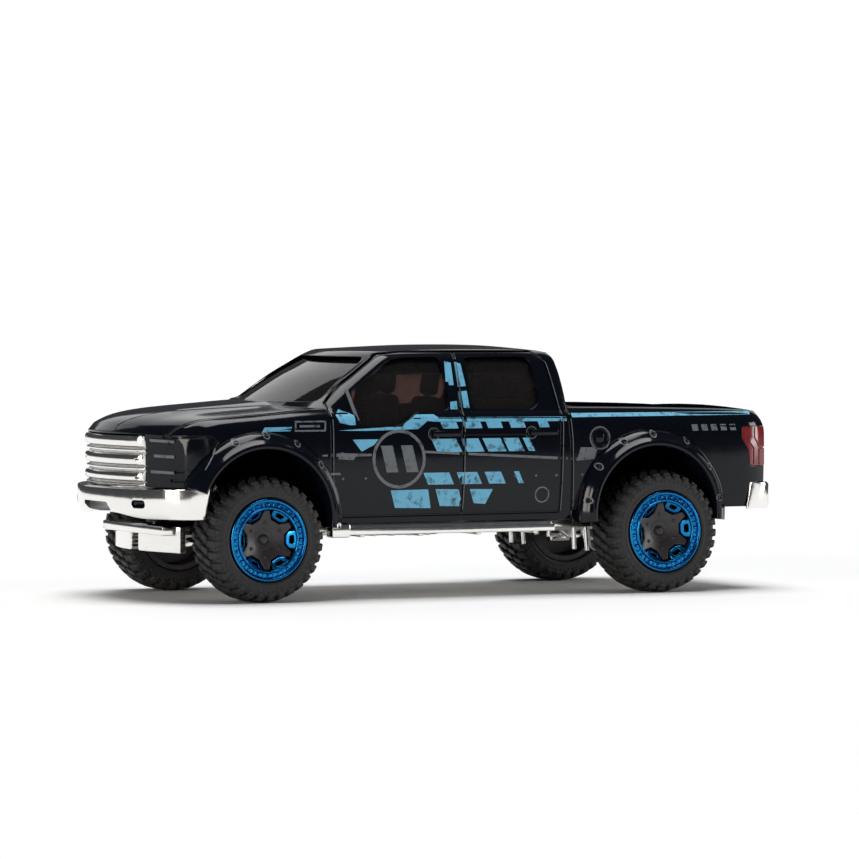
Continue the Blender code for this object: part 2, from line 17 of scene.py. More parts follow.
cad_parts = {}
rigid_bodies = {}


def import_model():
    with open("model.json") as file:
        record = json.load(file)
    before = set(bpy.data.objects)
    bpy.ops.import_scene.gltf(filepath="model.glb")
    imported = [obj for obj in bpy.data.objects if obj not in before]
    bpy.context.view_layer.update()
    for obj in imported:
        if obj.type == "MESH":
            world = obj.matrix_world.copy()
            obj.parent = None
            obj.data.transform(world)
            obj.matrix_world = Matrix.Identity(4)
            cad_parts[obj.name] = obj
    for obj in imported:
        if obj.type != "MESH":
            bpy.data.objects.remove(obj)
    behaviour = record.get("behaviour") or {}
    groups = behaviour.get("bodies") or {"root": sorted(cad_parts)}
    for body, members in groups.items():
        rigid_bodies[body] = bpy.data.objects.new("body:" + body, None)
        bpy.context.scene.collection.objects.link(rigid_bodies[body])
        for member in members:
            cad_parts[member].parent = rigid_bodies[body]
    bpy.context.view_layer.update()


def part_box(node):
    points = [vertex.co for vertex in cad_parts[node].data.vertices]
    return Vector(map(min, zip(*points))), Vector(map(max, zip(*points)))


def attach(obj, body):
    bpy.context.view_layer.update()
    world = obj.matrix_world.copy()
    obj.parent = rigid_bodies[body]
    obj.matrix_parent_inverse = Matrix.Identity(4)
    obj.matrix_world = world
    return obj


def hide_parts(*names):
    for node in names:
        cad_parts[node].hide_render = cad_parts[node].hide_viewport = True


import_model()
MM = 0.001
HANDS = {1: "left", -1: "right"}
CORNERS = {"front_left": 1, "front_right": -1, "rear_left": 1, "rear_right": -1}


def centre_of(node):
    low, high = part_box(node)
    return (Vector(low) + Vector(high)) / 2


AXLES = {kind: centre_of(f"{kind}_axle") for kind in ("front", "rear")}
# The drawing's zero is on the ground, midway between the axles.
ORIGIN = Vector((0, (AXLES["front"].y + AXLES["rear"].y) / 2, 0))
AXLE_Y = {kind: (axle.y - ORIGIN.y) / MM for kind, axle in AXLES.items()}
AXLE_Z = AXLES["front"].z / MM


# %% [markdown]
# ## Camera, light and floor
# A long lens far away keeps a small object's edges almost parallel. The camera is placed by its
# azimuth, its elevation and the distance to the point between the axles on the ground, so the same
# three numbers describe the view in plain words.

# %% Place the camera
AZIMUTH, ELEVATION, ROLL = (math.radians(a) for a in (63.889, 1.915, 0.161))
DISTANCE, LENS = 0.66115, 250.34
ASIDE, ABOVE = 0.002117, 0.017802      # how far the lens axis passes from the ground point

back = Vector((
    math.sin(AZIMUTH) * math.cos(ELEVATION),
    -math.cos(AZIMUTH) * math.cos(ELEVATION),
    math.sin(ELEVATION),
))
level = Vector((math.cos(AZIMUTH), math.sin(AZIMUTH), 0))
upright = back.cross(level)
right = level * math.cos(ROLL) + upright * math.sin(ROLL)
up = upright * math.cos(ROLL) - level * math.sin(ROLL)
camera = bpy.data.objects.new("camera", bpy.data.cameras.new("camera"))
bpy.context.scene.collection.objects.link(camera)
camera.data.lens = LENS
camera.data.sensor_width = 36
camera.data.clip_start = 0.01
turn = Matrix((right, up, back)).transposed()
place = ORIGIN + back * DISTANCE + right * ASIDE + up * ABOVE
camera.matrix_world = Matrix.Translation(place) @ turn.to_4x4()
bpy.context.scene.camera = camera
print("camera at", tuple(round(c, 4) for c in camera.matrix_world.translation))


# %% [markdown]
# Glossy black paint shows little but its surroundings. A broad soft light overhead whitens the
# floor evenly, a dim panel behind the truck greys the hood and windshield, and two small bright
# panels draw highlights along the edges. The world is pale to the eye and dim to reflections, as in
# a dark studio with a lit backdrop.

# %% Light the studio
def soft_panel(name, place, width, height, radiance, colour=(1, 1, 1)):
    """An area light of an even brightness that faces the truck."""
    light = bpy.data.lights.new(name, "AREA")
    light.shape = "RECTANGLE"
    light.size = width
    light.size_y = height
    light.energy = radiance * math.pi * width * height
    light.color = colour
    panel = bpy.data.objects.new(name, light)
    bpy.context.scene.collection.objects.link(panel)
    panel.location = place
    aim = Vector((0, 0, 0.012)) - Vector(place)
    panel.rotation_euler = aim.to_track_quat("-Z", "Y").to_euler()
    panel.visible_camera = False
    return panel


soft_panel("behind", (-1.35, 0.5, 1.0), 2.0, 1.15, 1.0)
soft_panel("beside_camera", (0.55, -1.0, 0.25), 0.3, 0.5, 10.0, (1.0, 0.94, 0.86))
soft_panel("rear_side", (0.45, 1.1, 0.25), 0.35, 0.5, 8.0)

overhead = bpy.data.objects.new("overhead", bpy.data.lights.new("overhead", "SUN"))
overhead.data.energy = 3.0
overhead.data.angle = math.radians(45)
overhead.rotation_euler = (0, math.radians(-6), 0)
bpy.context.scene.collection.objects.link(overhead)

world = bpy.data.worlds.new("studio")
bpy.context.scene.world = world
world.use_nodes = True
nodes, links = world.node_tree.nodes, world.node_tree.links
nodes.clear()
seen = nodes.new("ShaderNodeBackground")
seen.inputs["Color"].default_value = (1.0, 1.0, 1.0, 1)
seen.inputs["Strength"].default_value = 1.0
reflected = nodes.new("ShaderNodeBackground")
reflected.inputs["Color"].default_value = (0.86, 0.93, 1.0, 1)
reflected.inputs["Strength"].default_value = 0.06
light_path = nodes.new("ShaderNodeLightPath")
either = nodes.new("ShaderNodeMixShader")
links.new(light_path.outputs["Is Camera Ray"], either.inputs[0])
links.new(reflected.outputs[0], either.inputs[1])
links.new(seen.outputs[0], either.inputs[2])
links.new(either.outputs[0], nodes.new("ShaderNodeOutputWorld").inputs[0])
bpy.context.scene.view_settings.view_transform = "Standard"
print("lights:", len(bpy.data.lights))


# %% Lay the floor
floor_paint = bpy.data.materials.new("floor_paint")
floor_paint.use_nodes = True
chalk = floor_paint.node_tree.nodes["Principled BSDF"]
for socket, value in (
    ("Base Color", (0.82, 0.82, 0.82, 1)), ("Roughness", 0.8), ("Specular IOR Level", 0.0),
):
    chalk.inputs[socket].default_value = value
bm = bmesh.new()
bmesh.ops.create_grid(bm, x_segments=1, y_segments=1, size=1.2)
floor_mesh = bpy.data.meshes.new("floor")
bm.to_mesh(floor_mesh)
bm.free()
floor_mesh.materials.append(floor_paint)
floor = bpy.data.objects.new("floor", floor_mesh)
bpy.context.scene.collection.objects.link(floor)
print("floor in metres:", [round(length, 2) for length in floor.dimensions])


# %% [markdown]
# ## Finishes
# Every finish is a Principled shader with a little uneven roughness and a fine bump, because even a
# glossy toy is never optically perfect. The bevel node rounds the look of hard edges, the way thick
# enamel or plating softens them on the real casting.

# %% A helper for finishes
def finish(name, colour, roughness, metallic=0.0, uneven=0.1, bump=0.1, grain=1500, edge=0.0001, coat=0.0,
           level=0.5):
    """A Principled material with noise in its roughness and height. level sets how much it mirrors."""
    material = bpy.data.materials.new(name)
    material.use_nodes = True
    tree = material.node_tree
    shader = tree.nodes["Principled BSDF"]
    for socket, value in (
        ("Base Color", (*colour, 1)), ("Metallic", metallic), ("Coat Weight", coat),
        ("Coat Roughness", 0.04), ("Specular IOR Level", level),
    ):
        shader.inputs[socket].default_value = value
    place = tree.nodes.new("ShaderNodeTexCoord")
    noise = tree.nodes.new("ShaderNodeTexNoise")
    noise.inputs["Scale"].default_value = grain
    noise.inputs["Detail"].default_value = 3.0
    tree.links.new(place.outputs["Object"], noise.inputs["Vector"])
    spread = tree.nodes.new("ShaderNodeMapRange")
    spread.inputs["To Min"].default_value = max(0.0, roughness - uneven)
    spread.inputs["To Max"].default_value = roughness + uneven
    tree.links.new(noise.outputs["Fac"], spread.inputs["Value"])
    tree.links.new(spread.outputs["Result"], shader.inputs["Roughness"])
    soft_edge = tree.nodes.new("ShaderNodeBevel")
    soft_edge.samples = 6
    soft_edge.inputs["Radius"].default_value = edge
    height = tree.nodes.new("ShaderNodeBump")
    height.inputs["Strength"].default_value = bump
    height.inputs["Distance"].default_value = 0.0001
    tree.links.new(noise.outputs["Fac"], height.inputs["Height"])
    tree.links.new(soft_edge.outputs[0], height.inputs["Normal"])
    tree.links.new(height.outputs[0], shader.inputs["Normal"])
    return material


enamel = finish(
    "black_enamel", (0.0022, 0.0032, 0.0065), 0.1, uneven=0.04, bump=0.035, grain=900, edge=0.00014,
    coat=0.1, level=0.22,
)
# A matte black with no reflection for the insides of the wheel wells: painted shade, where the glossy enamel
# would show the bright floor.
well_shade_black = finish("well_shade_black", (0.0018, 0.002, 0.0026), 0.8, level=0.0)
plating = finish(
    "silver_plating", (0.88, 0.87, 0.84), 0.13, 1.0, uneven=0.06, bump=0.05, grain=1200, edge=0.00016,
)
blue_plating = finish("blue_plating", (0.014, 0.2, 0.47), 0.16, 1.0, uneven=0.05, bump=0.05)
tyre_rubber = finish("tyre_rubber", (0.015, 0.0145, 0.015), 0.62, uneven=0.12, bump=0.2, grain=2500)
hub_plastic = finish("hub_plastic", (0.028, 0.024, 0.026), 0.42, grain=1800)
cabin_plastic = finish("cabin_plastic", (0.03, 0.027, 0.025), 0.5, bump=0.15, edge=0.0002)
axle_steel = finish("axle_steel", (0.56, 0.56, 0.57), 0.3, 1.0, grain=3000, edge=0.00005)
lens_red = finish("lens_red", (0.2, 0.011, 0.013), 0.12, uneven=0.03, bump=0.03, grain=1200, coat=0.2)
print("finishes:", len(bpy.data.materials))


# %% [markdown]
# The windows are one brown-smoke clear moulding. Mixing a plain transparent surface with a glossy
# one keeps the cabin visible without the noise that thick refracting glass brings.

# %% The smoke glazing
def smoke_finish(name, tint, shade):
    """A tinted clear plastic. shade is the share of it that is solid colour."""
    material = finish(name, (0.03, 0.026, 0.024), 0.05, uneven=0.02, bump=0.02, grain=600)
    nodes, links = material.node_tree.nodes, material.node_tree.links
    clear = nodes.new("ShaderNodeBsdfTransparent")
    clear.inputs["Color"].default_value = (*tint, 1)
    mix = nodes.new("ShaderNodeMixShader")
    mix.inputs[0].default_value = shade
    links.new(clear.outputs[0], mix.inputs[1])
    links.new(nodes["Principled BSDF"].outputs[0], mix.inputs[2])
    shine = nodes.new("ShaderNodeBsdfGlossy")
    shine.inputs["Roughness"].default_value = 0.04
    angle = nodes.new("ShaderNodeFresnel")
    angle.inputs["IOR"].default_value = 1.7
    both = nodes.new("ShaderNodeMixShader")
    links.new(angle.outputs[0], both.inputs[0])
    links.new(mix.outputs[0], both.inputs[1])
    links.new(shine.outputs[0], both.inputs[2])
    links.new(both.outputs[0], nodes["Material Output"].inputs["Surface"])
    return material


smoke = smoke_finish("smoke_glazing", (0.63, 0.53, 0.5), 0.2)
print("glazing:", smoke.name)


# %% [markdown]
# ## Turning a bmesh into a piece
# Each new piece is made in a bmesh in millimetres. The first helper scales it to metres, recalculates
# its normals and marks the sharp edges. The last one rides it on its body.

# %% Helpers for finished pieces
SHARP = math.radians(32)


def to_object(bm, name, material=enamel):
    """A bmesh in millimetres becomes an object in metres, smooth but for its sharp edges."""
    bmesh.ops.scale(bm, vec=(MM, MM, MM), verts=bm.verts)
    bmesh.ops.translate(bm, vec=ORIGIN, verts=bm.verts)
    bmesh.ops.recalc_face_normals(bm, faces=bm.faces)
    for face in bm.faces:
        face.smooth = True
    mesh = bpy.data.meshes.new(name)
    bm.to_mesh(mesh)
    bm.free()
    mesh.set_sharp_from_angle(angle=SHARP)
    mesh.materials.append(material)
    obj = bpy.data.objects.new(name, mesh)
    bpy.context.scene.collection.objects.link(obj)
    return obj


def settle(obj):
    """Applies an object's modifiers to its mesh."""
    graph = bpy.context.evaluated_depsgraph_get()
    baked = bpy.data.meshes.new_from_object(obj.evaluated_get(graph))
    obj.modifiers.clear()
    obj.data = baked
    for face in baked.polygons:
        face.use_smooth = True
    baked.set_sharp_from_angle(angle=SHARP)


def carve(obj, tools, operation="DIFFERENCE", keep=False):
    """Cuts the tools from the object, or joins them to it. The tools go, unless told to keep them."""
    for tool in tools:
        modifier = obj.modifiers.new(tool.name, "BOOLEAN")
        modifier.operation = operation
        modifier.solver = "MANIFOLD"
        modifier.material_mode = "TRANSFER"
        modifier.object = tool
    settle(obj)
    if not keep:
        for tool in tools:
            bpy.data.objects.remove(tool)
    return obj


def repaint(obj, material):
    obj.data.materials.clear()
    obj.data.materials.append(material)


def joined(parts):
    """Several bmeshes as one, which frees the others."""
    whole = parts[0]
    for part in parts[1:]:
        spare = bpy.data.meshes.new("spare")
        part.to_mesh(spare)
        part.free()
        whole.from_mesh(spare)
        bpy.data.meshes.remove(spare)
    return whole


def piece(obj, body, slot, *nodes):
    """Rides a piece on its body, in place of the CAD nodes that it stands for."""
    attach(obj, body)
    if nodes:
        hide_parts(*nodes)
    obj.data.calc_loop_triangles()
    print(f"{obj.name}: {len(obj.data.loop_triangles)} triangles")
    return obj


# %% Helpers for shapes
def moved(bm, matrix):
    bmesh.ops.transform(bm, matrix=matrix, verts=bm.verts)
    return bm


def outward(side):
    """The turn that lays a shape drawn about Z on its side, with its top away from the truck."""
    return Matrix.Rotation(side * math.pi / 2, 4, "Y")
def box_mesh(low, high):
    bm = bmesh.new()
    bmesh.ops.create_cube(bm, size=1.0)
    bmesh.ops.scale(bm, vec=[b - a for a, b in zip(low, high)], verts=bm.verts)
    bmesh.ops.translate(bm, vec=[(a + b) / 2 for a, b in zip(low, high)], verts=bm.verts)
    return bm
def soft_box(low, high, width, segments=3):
    """A box with its edges rounded to the given width."""
    return round_edges(box_mesh(low, high), width, segments)


def side_box(side, x, y, z):
    """A box on one side of the truck. x is its two distances from the centre line."""
    near, far = sorted((side * x[0], side * x[1]))
    return box_mesh((near, y[0], z[0]), (far, y[1], z[1]))
def round_edges(bm, width, segments=3, edges=None):
    bmesh.ops.bevel(
        bm, geom=edges or bm.edges[:], offset=width, segments=segments, profile=0.5,
        affect="EDGES", clamp_overlap=True, material=-1,
    )
    return bm


def bar_mesh(radius, start, end, sides=24):
    """A round bar between two points."""
    start, end = Vector(start), Vector(end)
    turn = Vector((0, 0, 1)).rotation_difference(end - start).to_matrix().to_4x4()
    bm = bmesh.new()
    bmesh.ops.create_cone(
        bm, cap_ends=True, segments=sides, radius1=radius, radius2=radius,
        depth=(end - start).length, matrix=Matrix.Translation((start + end) / 2) @ turn,
    )
    return bm


# Each plane says which axes an outline's two coordinates lie on, and which axis it is extruded along.
PLANES = {"side": (1, 2, 0), "plan": (0, 1, 2), "front": (0, 2, 1)}


def slab_mesh(outline, plane, low, high):
    """A flat outline extruded from low to high across its plane."""
    u_axis, v_axis, w_axis = PLANES[plane]
    bm = bmesh.new()
    verts = []
    for u, v in outline:
        place = [0, 0, 0]
        place[u_axis], place[v_axis], place[w_axis] = u, v, low
        verts.append(bm.verts.new(place))
    face = bm.faces.new(verts)
    made = bmesh.ops.extrude_face_region(bm, geom=[face])
    run = [0, 0, 0]
    run[w_axis] = high - low
    fresh = [item for item in made["geom"] if isinstance(item, bmesh.types.BMVert)]
    bmesh.ops.translate(bm, vec=run, verts=fresh)
    return bm


def sweep_mesh(section, place, count):
    """A flat section carried through count steps. place(i, u, v) says where its point (u, v) goes."""
    bm = bmesh.new()
    verts = [bm.verts.new(place(0, u, v)) for u, v in section]
    face = bm.faces.new(verts)
    for i in range(1, count + 1):
        order = {tuple(vert.co): k for k, vert in enumerate(verts)}
        last = face
        made = bmesh.ops.extrude_face_region(bm, geom=[last])["geom"]
        face = next(item for item in made if isinstance(item, bmesh.types.BMFace))
        if i > 1 and last.is_valid:
            bm.faces.remove(last)
        fresh = [item for item in made if isinstance(item, bmesh.types.BMVert)]
        verts = sorted(fresh, key=lambda vert: order[tuple(vert.co)])
        for vert, (u, v) in zip(verts, section):
            vert.co = place(i, u, v)
    return bm


def stroke(points, width):
    """The outline of a line of even width through the points, its ends cut square."""
    points = [Vector(p) for p in points]
    near, far = [], []
    for i, point in enumerate(points):
        before, after = points[max(0, i - 1)], points[min(len(points) - 1, i + 1)]
        run = (after - before).normalized()
        offset = Vector((-run.y, run.x)) * width / 2
        near.append(tuple(point + offset))
        far.append(tuple(point - offset))
    return near + far[::-1]


def turned_mesh(profile, steps, closed=True):
    """A (radius, height) profile spun about Z."""
    bm = bmesh.new()
    verts = [bm.verts.new((r, 0, h)) for r, h in profile]
    pairs = list(zip(verts, verts[1:])) + ([(verts[-1], verts[0])] if closed else [])
    edges = [bm.edges.new(pair) for pair in pairs]
    bmesh.ops.spin(
        bm, geom=verts + edges, axis=(0, 0, 1), cent=(0, 0, 0), angle=math.tau, steps=steps,
        use_merge=True,
    )
    bmesh.ops.remove_doubles(bm, verts=bm.verts, dist=0.0005)
    return bm


def smooth_curve(*points):
    """A function through (t, value) points, with its slopes taken from the neighbours."""
    slopes = []
    for i in range(len(points)):
        before, after = points[max(0, i - 1)], points[min(len(points) - 1, i + 1)]
        slopes.append((after[1] - before[1]) / (after[0] - before[0]))

    def value(t):
        t = min(max(t, points[0][0]), points[-1][0])
        for i in range(len(points) - 1):
            (t0, v0), (t1, v1) = points[i], points[i + 1]
            if t <= t1:
                break
        span = t1 - t0
        s = (t - t0) / span
        return (
            (2 * s**3 - 3 * s**2 + 1) * v0 + (s**3 - 2 * s**2 + s) * span * slopes[i]
            + (3 * s**2 - 2 * s**3) * v1 + (s**3 - s**2) * span * slopes[i + 1]
        )

    return value


def gridded_cube(cuts):
    """A cube from -1 to 1 on each axis, cut into an even grid."""
    bm = bmesh.new()
    bmesh.ops.create_cube(bm, size=2.0)
    for axis, count in enumerate(cuts):
        across = [e for e in bm.edges if abs(e.verts[0].co[axis] - e.verts[1].co[axis]) > 0.1]
        bmesh.ops.subdivide_edges(bm, edges=across, cuts=count, use_grid_fill=True)
    return bm


def step(low, high, t):
    """0 below low, 1 above high and smooth between."""
    s = min(max((t - low) / (high - low), 0.0), 1.0)
    return s * s * (3 - 2 * s)


def rounded(outline, radius, steps=4):
    """An outline with each corner rounded by short chords."""
    points = []
    count = len(outline)
    for i in range(count):
        a, b, c = (Vector(outline[j % count]) for j in (i - 1, i, i + 1))
        to_a, to_c = (a - b), (c - b)
        reach = min(radius, to_a.length * 0.45, to_c.length * 0.45)
        first, last = b + to_a.normalized() * reach, b + to_c.normalized() * reach
        for k in range(steps + 1):
            s = k / steps
            points.append(tuple(first * (1 - s) ** 2 + b * 2 * s * (1 - s) + last * s**2))
    return points


# %% [markdown]
# ## The body casting
# A car body is long, flat sections that swell and taper gently. So the lower body starts as a cube
# whose faces are subdivided into an even grid, and a few functions then place every vertex: how wide
# the body is at each height, how high the hood and rails are, and how the nose bows. Changing one
# number bends the whole panel without a ripple.

# %% The lower body's sections
NOSE_Y, TAIL_Y = -37.2, 37.9
side_width = smooth_curve(
    (7.5, 12.55), (8.4, 12.95), (10.5, 13.25), (13.0, 13.42), (15.5, 13.42), (17.4, 13.36), (18.9, 13.25),
    (20.9, 12.85),
)
front_taper = smooth_curve((-37.2, 1.25), (-36.6, 0.8), (-35.6, 0.45), (-33.5, 0.15), (-30.0, 0.0))
rear_taper = smooth_curve((30.0, 0.0), (33.0, 0.05), (35.5, 0.3), (37.0, 0.8), (38.2, 1.5))
edge_height = smooth_curve(
    (-37.2, 17.85), (-36.8, 18.3), (-36.2, 18.7), (-34.5, 19.15), (-31.0, 19.55), (-28.0, 19.8),
    (-24.0, 20.1), (-19.0, 20.5), (-15.0, 20.65),
    (0.0, 20.6), (13.0, 20.5), (25.0, 20.3), (36.0, 19.95), (37.2, 19.75), (38.0, 19.1),
)
crown = smooth_curve((-37.2, 0.3), (-35.0, 0.5), (-28.0, 0.65), (-20.0, 0.6), (-14.0, 0.4), (38.0, 0.3))


def body_width(y, z):
    """Half the body's width: the door section, its rounded shoulder and the tapers of both ends."""
    depth = edge_height(y) - z
    shoulder = 1.15 * (1 - min(depth / 1.5, 1.0)) ** 2.2
    return side_width(z) - shoulder - front_taper(y) - rear_taper(y)


def body_place(across, along, rise, inset=0.0):
    """Where a point of the unit block lands. across and rise run from -1 to 1, along from 0 to 1."""
    share = math.sin(across * math.pi / 2)
    level = 0.5 + 0.5 * math.sin(rise * math.pi / 2)
    y = NOSE_Y + inset + along * (TAIL_Y - NOSE_Y - 2 * inset)
    low = 7.6
    edge = edge_height(y) - inset
    top = edge + crown(y) * (1 - share**2)
    bulge = 0.28 * (1 - step(5.2, 7.0, abs(share) * 12)) * step(-38.5, -31, y) * (1 - step(-17, -15, y))
    z = low + level * (top + bulge - low)
    x = share * (body_width(y, low + level * (edge - low)) - inset)
    nose = (1 - step(NOSE_Y, -25.5, y)) ** 2
    y += nose * (0.029 * x * x + 0.3 * (1 - step(17.3, 18.2, z)))
    return x, y, z


def body_block(name, inset=0.0):
    """The lower body as a solid. A negative inset makes it a little larger."""
    bm = gridded_cube((21, 95, 15))
    for vert in bm.verts:
        u, v, w = vert.co
        vert.co = body_place(u, (v + 1) / 2, w, inset)
    return to_object(bm, name)


body = body_block("body_panels")
print("lower body:", len(body.data.polygons), "faces")


# %% [markdown]
# ## The cab
# The cab is another gridded block. Its corners are rounded first, by pulling every point that lies
# outside an inner box onto a sphere round that box. After that it is tapered, bowed at the
# windshield and crowned at the roof, so the roundness follows the slopes.

# %% The cab's form
CAB_LOW, CAB_TOP = 18.0, 26.7
cab_half = smooth_curve((16.0, 13.3), (18.0, 12.95), (20.4, 12.3), (23.4, 11.15), (26.3, 9.75), (27.2, 9.3))
screen_line = smooth_curve(
    (16.0, -29.0), (18.0, -26.0), (20.9, -21.2), (23.5, -16.8), (26.2, -11.9), (27.4, -9.6)
)
cab_rear = smooth_curve((16.0, 13.8), (20.4, 13.65), (23.5, 13.4), (26.3, 12.95), (27.4, 12.6))
screen_bow = smooth_curve((17.0, 0.042), (20.9, 0.038), (26.2, 0.034), (27.4, 0.034))
roof_crown = smooth_curve((-14.0, -0.5), (-9.0, 0.05), (-5.0, 0.3), (1.0, 0.5), (8.0, 0.4), (12.5, 0.0))


def cab_place(across, along, rise, inset, low):
    """Where a point of the unit block lands on the cab. All three run from -1 to 1."""
    half, reach, radius = 10.6, 17.0, 1.25
    top = CAB_TOP - inset
    height = (top - low) / 2
    point = Vector((across * half, along * reach, rise * height))
    core = Vector((
        min(max(point.x, radius - half), half - radius),
        min(max(point.y, radius - reach), reach - radius),
        min(point.z, height - radius),
    ))
    out = point - core
    if out.length > 1e-6:
        point = core + out * (max(abs(c) for c in out) / out.length)
    z = low + height + point.z
    x = point.x / half * (cab_half(z) - inset)
    front = screen_line(z) + screen_bow(z) * x * x + inset * 1.9
    rear = cab_rear(z) - inset - 0.001 * x * x
    y = front + (point.y / reach + 1) / 2 * (rear - front)
    lift = max(0.0, (z - CAB_TOP + 2.5) / 2.5)
    z += lift * (roof_crown(y) * (1 - (x / 13) ** 2) - 0.2 * (x / 9) ** 2)
    return x, y, z


def cab_block(name, inset=0.0, low=CAB_LOW, material=enamel):
    bm = gridded_cube((27, 43, 17))
    for vert in bm.verts:
        u, v, w = vert.co
        u, w = math.sin(u * math.pi / 2), math.sin(w * math.pi / 2)
        vert.co = cab_place(u, v, w, inset, low)
    return to_object(bm, name, material)


print("cab: from", CAB_LOW, "to", CAB_TOP, "mm above the ground")


# %% [markdown]
# ## Cutting the casting
# The raw forms are joined, then everything the moulder's die leaves out is carved from them: the
# wheel wells, the cabin, the cargo bed, the windows and the lamp pockets. The last tools are thin
# ribbons for the shut lines. Taking a slightly smaller copy of the body out of each ribbon first
# leaves a groove of one even depth, however the panel curves.

# %% Tools for the big openings
ARCHES = {"front": (-24.2, 8.9, 7.6), "rear": (22.95, 8.8, 7.45)}
FRONT_WINDOW = [
    (-12.9, 22.35), (-12.7, 18.75), (-7.6, 18.75), (-5.6, 20.1), (-1.2, 20.4), (-1.3, 26.05),
    (-5.6, 26.05), (-7.6, 25.75),
]
REAR_WINDOW = [(1.55, 26.05), (1.4, 20.4), (8.9, 20.3), (9.9, 21.3), (9.6, 25.5), (9.0, 26.05)]
LAMP = [(34.5, 18.15), (41.0, 18.15), (41.0, 13.75), (35.55, 13.75), (35.45, 15.55), (34.5, 16.85)]
SCREEN = [(-10.6, 21.3), (10.6, 21.3), (8.3, 26.05), (-8.3, 26.05)]
BACKLIGHT = [(-8.8, 21.6), (8.8, 21.6), (7.7, 25.5), (-7.7, 25.5)]


def arch_points(kind, low=2.0, steps=36):
    """A wheel opening's outline: a half circle with straight legs down to low."""
    y, z, radius = ARCHES[kind]
    angles = [math.pi * i / steps for i in range(steps + 1)]
    top = [(y + radius * math.cos(a), z + radius * math.sin(a)) for a in angles]
    return [(y + radius, low)] + top + [(y - radius, low)]


def grille_pocket_place(i, depth, z):
    """The pocket's back follows the bowed nose. depth is 0 at the back and negative in front of it."""
    x = -7.75 + 15.5 * i / 12
    return x, -35.9 + 0.029 * x * x + depth, z


def opening_tools():
    tools = []
    for side, hand in HANDS.items():
        for kind in ARCHES:
            well = slab_mesh(arch_points(kind), "side", side * 8.3, side * 20)
            # The wells take the non-reflecting black, which paints shade into them.
            tools.append(to_object(well, f"{kind}_well_{hand}", well_shade_black))
        for label, outline in (("front", FRONT_WINDOW), ("rear", REAR_WINDOW)):
            window = slab_mesh(rounded(outline, 0.7), "side", side * 7.0, side * 20)
            tools.append(to_object(window, f"{label}_window_{hand}"))
        pocket = slab_mesh(rounded(LAMP, 0.25), "side", side * 11.2, side * 16)
        tools.append(to_object(pocket, f"lamp_pocket_{hand}"))
    screen = slab_mesh(rounded(SCREEN, 0.9), "front", -26, -8.0)
    tools.append(to_object(screen, "screen_cut"))
    backlight = slab_mesh(rounded(BACKLIGHT, 0.9), "front", 10.5, 17)
    tools.append(to_object(backlight, "backlight_cut"))
    under = [
        (-45, -5), (45, -5), (45, 9.25), (13.5, 9.25), (12.5, 8.25), (-18.0, 8.25), (-26, 12.3), (-45, 12.3),
    ]
    tools.append(to_object(slab_mesh(under, "side", -20, 20), "under_cut"))
    pocket = sweep_mesh([(-9, 12.0), (-9, 17.95), (0, 17.95), (0, 12.0)], grille_pocket_place, 12)
    tools.append(to_object(pocket, "grille_pocket"))
    return tools


def cargo_space():
    """The bed's inside, with its wheel wells and floor ribs left standing."""
    bed = to_object(soft_box((-10.9, 14.7, 14.6), (10.9, 36.3, 30), 0.5), "cargo_space")
    keep = []
    for side, hand in HANDS.items():
        tub = round_edges(side_box(side, (7.6, 14), (15.8, 30.6), (10, 17.3)), 0.7)
        keep.append(to_object(tub, f"tub_{hand}"))
    for i in range(9):
        x = -6.4 + 1.6 * i
        keep.append(to_object(box_mesh((x - 0.4, 12, 14.0), (x + 0.4, 38, 14.85)), f"rib_{i}"))
    return carve(bed, keep)


# %% Carve the openings
cab = cab_block("cab_form")
cabin_space = cab_block("cabin_space", 0.5, 17.0)
carve(body, [cab], "UNION")
lower_cabin = to_object(box_mesh((-11.4, -14.5, 9.0), (11.4, 12.2, 19.5)), "lower_cabin")
carve(body, [cabin_space, lower_cabin, cargo_space()])
carve(body, opening_tools())
print("carved body:", len(body.data.polygons), "faces")


# %% [markdown]
# ## Shut lines
# A door cast shut is only a groove in the metal. Each groove starts as a thin ribbon that stands in
# the panel. A core, which is the body drawn a little smaller, is cut from every ribbon first, so
# that what is left digs into the panel by the same small depth everywhere.

# %% The lines of doors, hood and tailgate
GROOVE_WIDE, GROOVE_DEEP = 0.24, 0.2
SIDE_LINES = [
    [(-15.2, 8.9), (-15.9, 12.5), (-15.85, 21.2), (-14.2, 22.75), (-8.4, 26.4)],
    [(-8.4, 26.4), (-5.5, 26.62), (10.2, 26.55), (11.3, 25.4), (11.9, 20.6), (12.0, 19.8), (11.7, 9.2)],
    [(0.45, 26.6), (0.0, 20.4), (-0.3, 9.0)],
    [(-15.2, 9.0), (11.7, 9.1)],
    [(12.8, 20.9), (13.1, 17.0), (13.2, 9.0)],
    [(-0.3, 17.5), (7.9, 17.45)],
    [(-34.2, 17.7), (-30.0, 17.75), (-29.4, 17.2), (-31.4, 14.3), (-34.2, 13.9)],
    [(-33.6, 13.1), (-29.6, 13.0)],
]
TOP_LINES = [
    [(9.3, -36.0), (10.9, -32.8), (11.7, -28.0), (11.9, -22.0), (11.6, -17.2)],
    [(2.9, -36.4), (5.2, -30.0), (6.6, -19.6)],
]
BACK_LINES = [
    [(10.95, 12.4), (10.95, 19.8)],
    [(0.0, 12.6), (10.95, 12.6)],
    [(0.0, 18.9), (10.95, 18.9)],
]


def groove_tools():
    """One ribbon for each line and side, standing in the panel that it marks."""
    tools = []
    for side, hand in HANDS.items():
        for line in SIDE_LINES:
            tools.append((stroke(line, GROOVE_WIDE), "side", side * 8.0, side * 18))
        for line in TOP_LINES:
            tools.append((stroke([(side * x, y) for x, y in line], GROOVE_WIDE), "plan", 17, 23))
        for line in BACK_LINES:
            tools.append((stroke([(side * x, z) for x, z in line], GROOVE_WIDE), "front", 34, 42))
    return [to_object(slab_mesh(*ribbon), f"shut_line_{i}") for i, ribbon in enumerate(tools)]


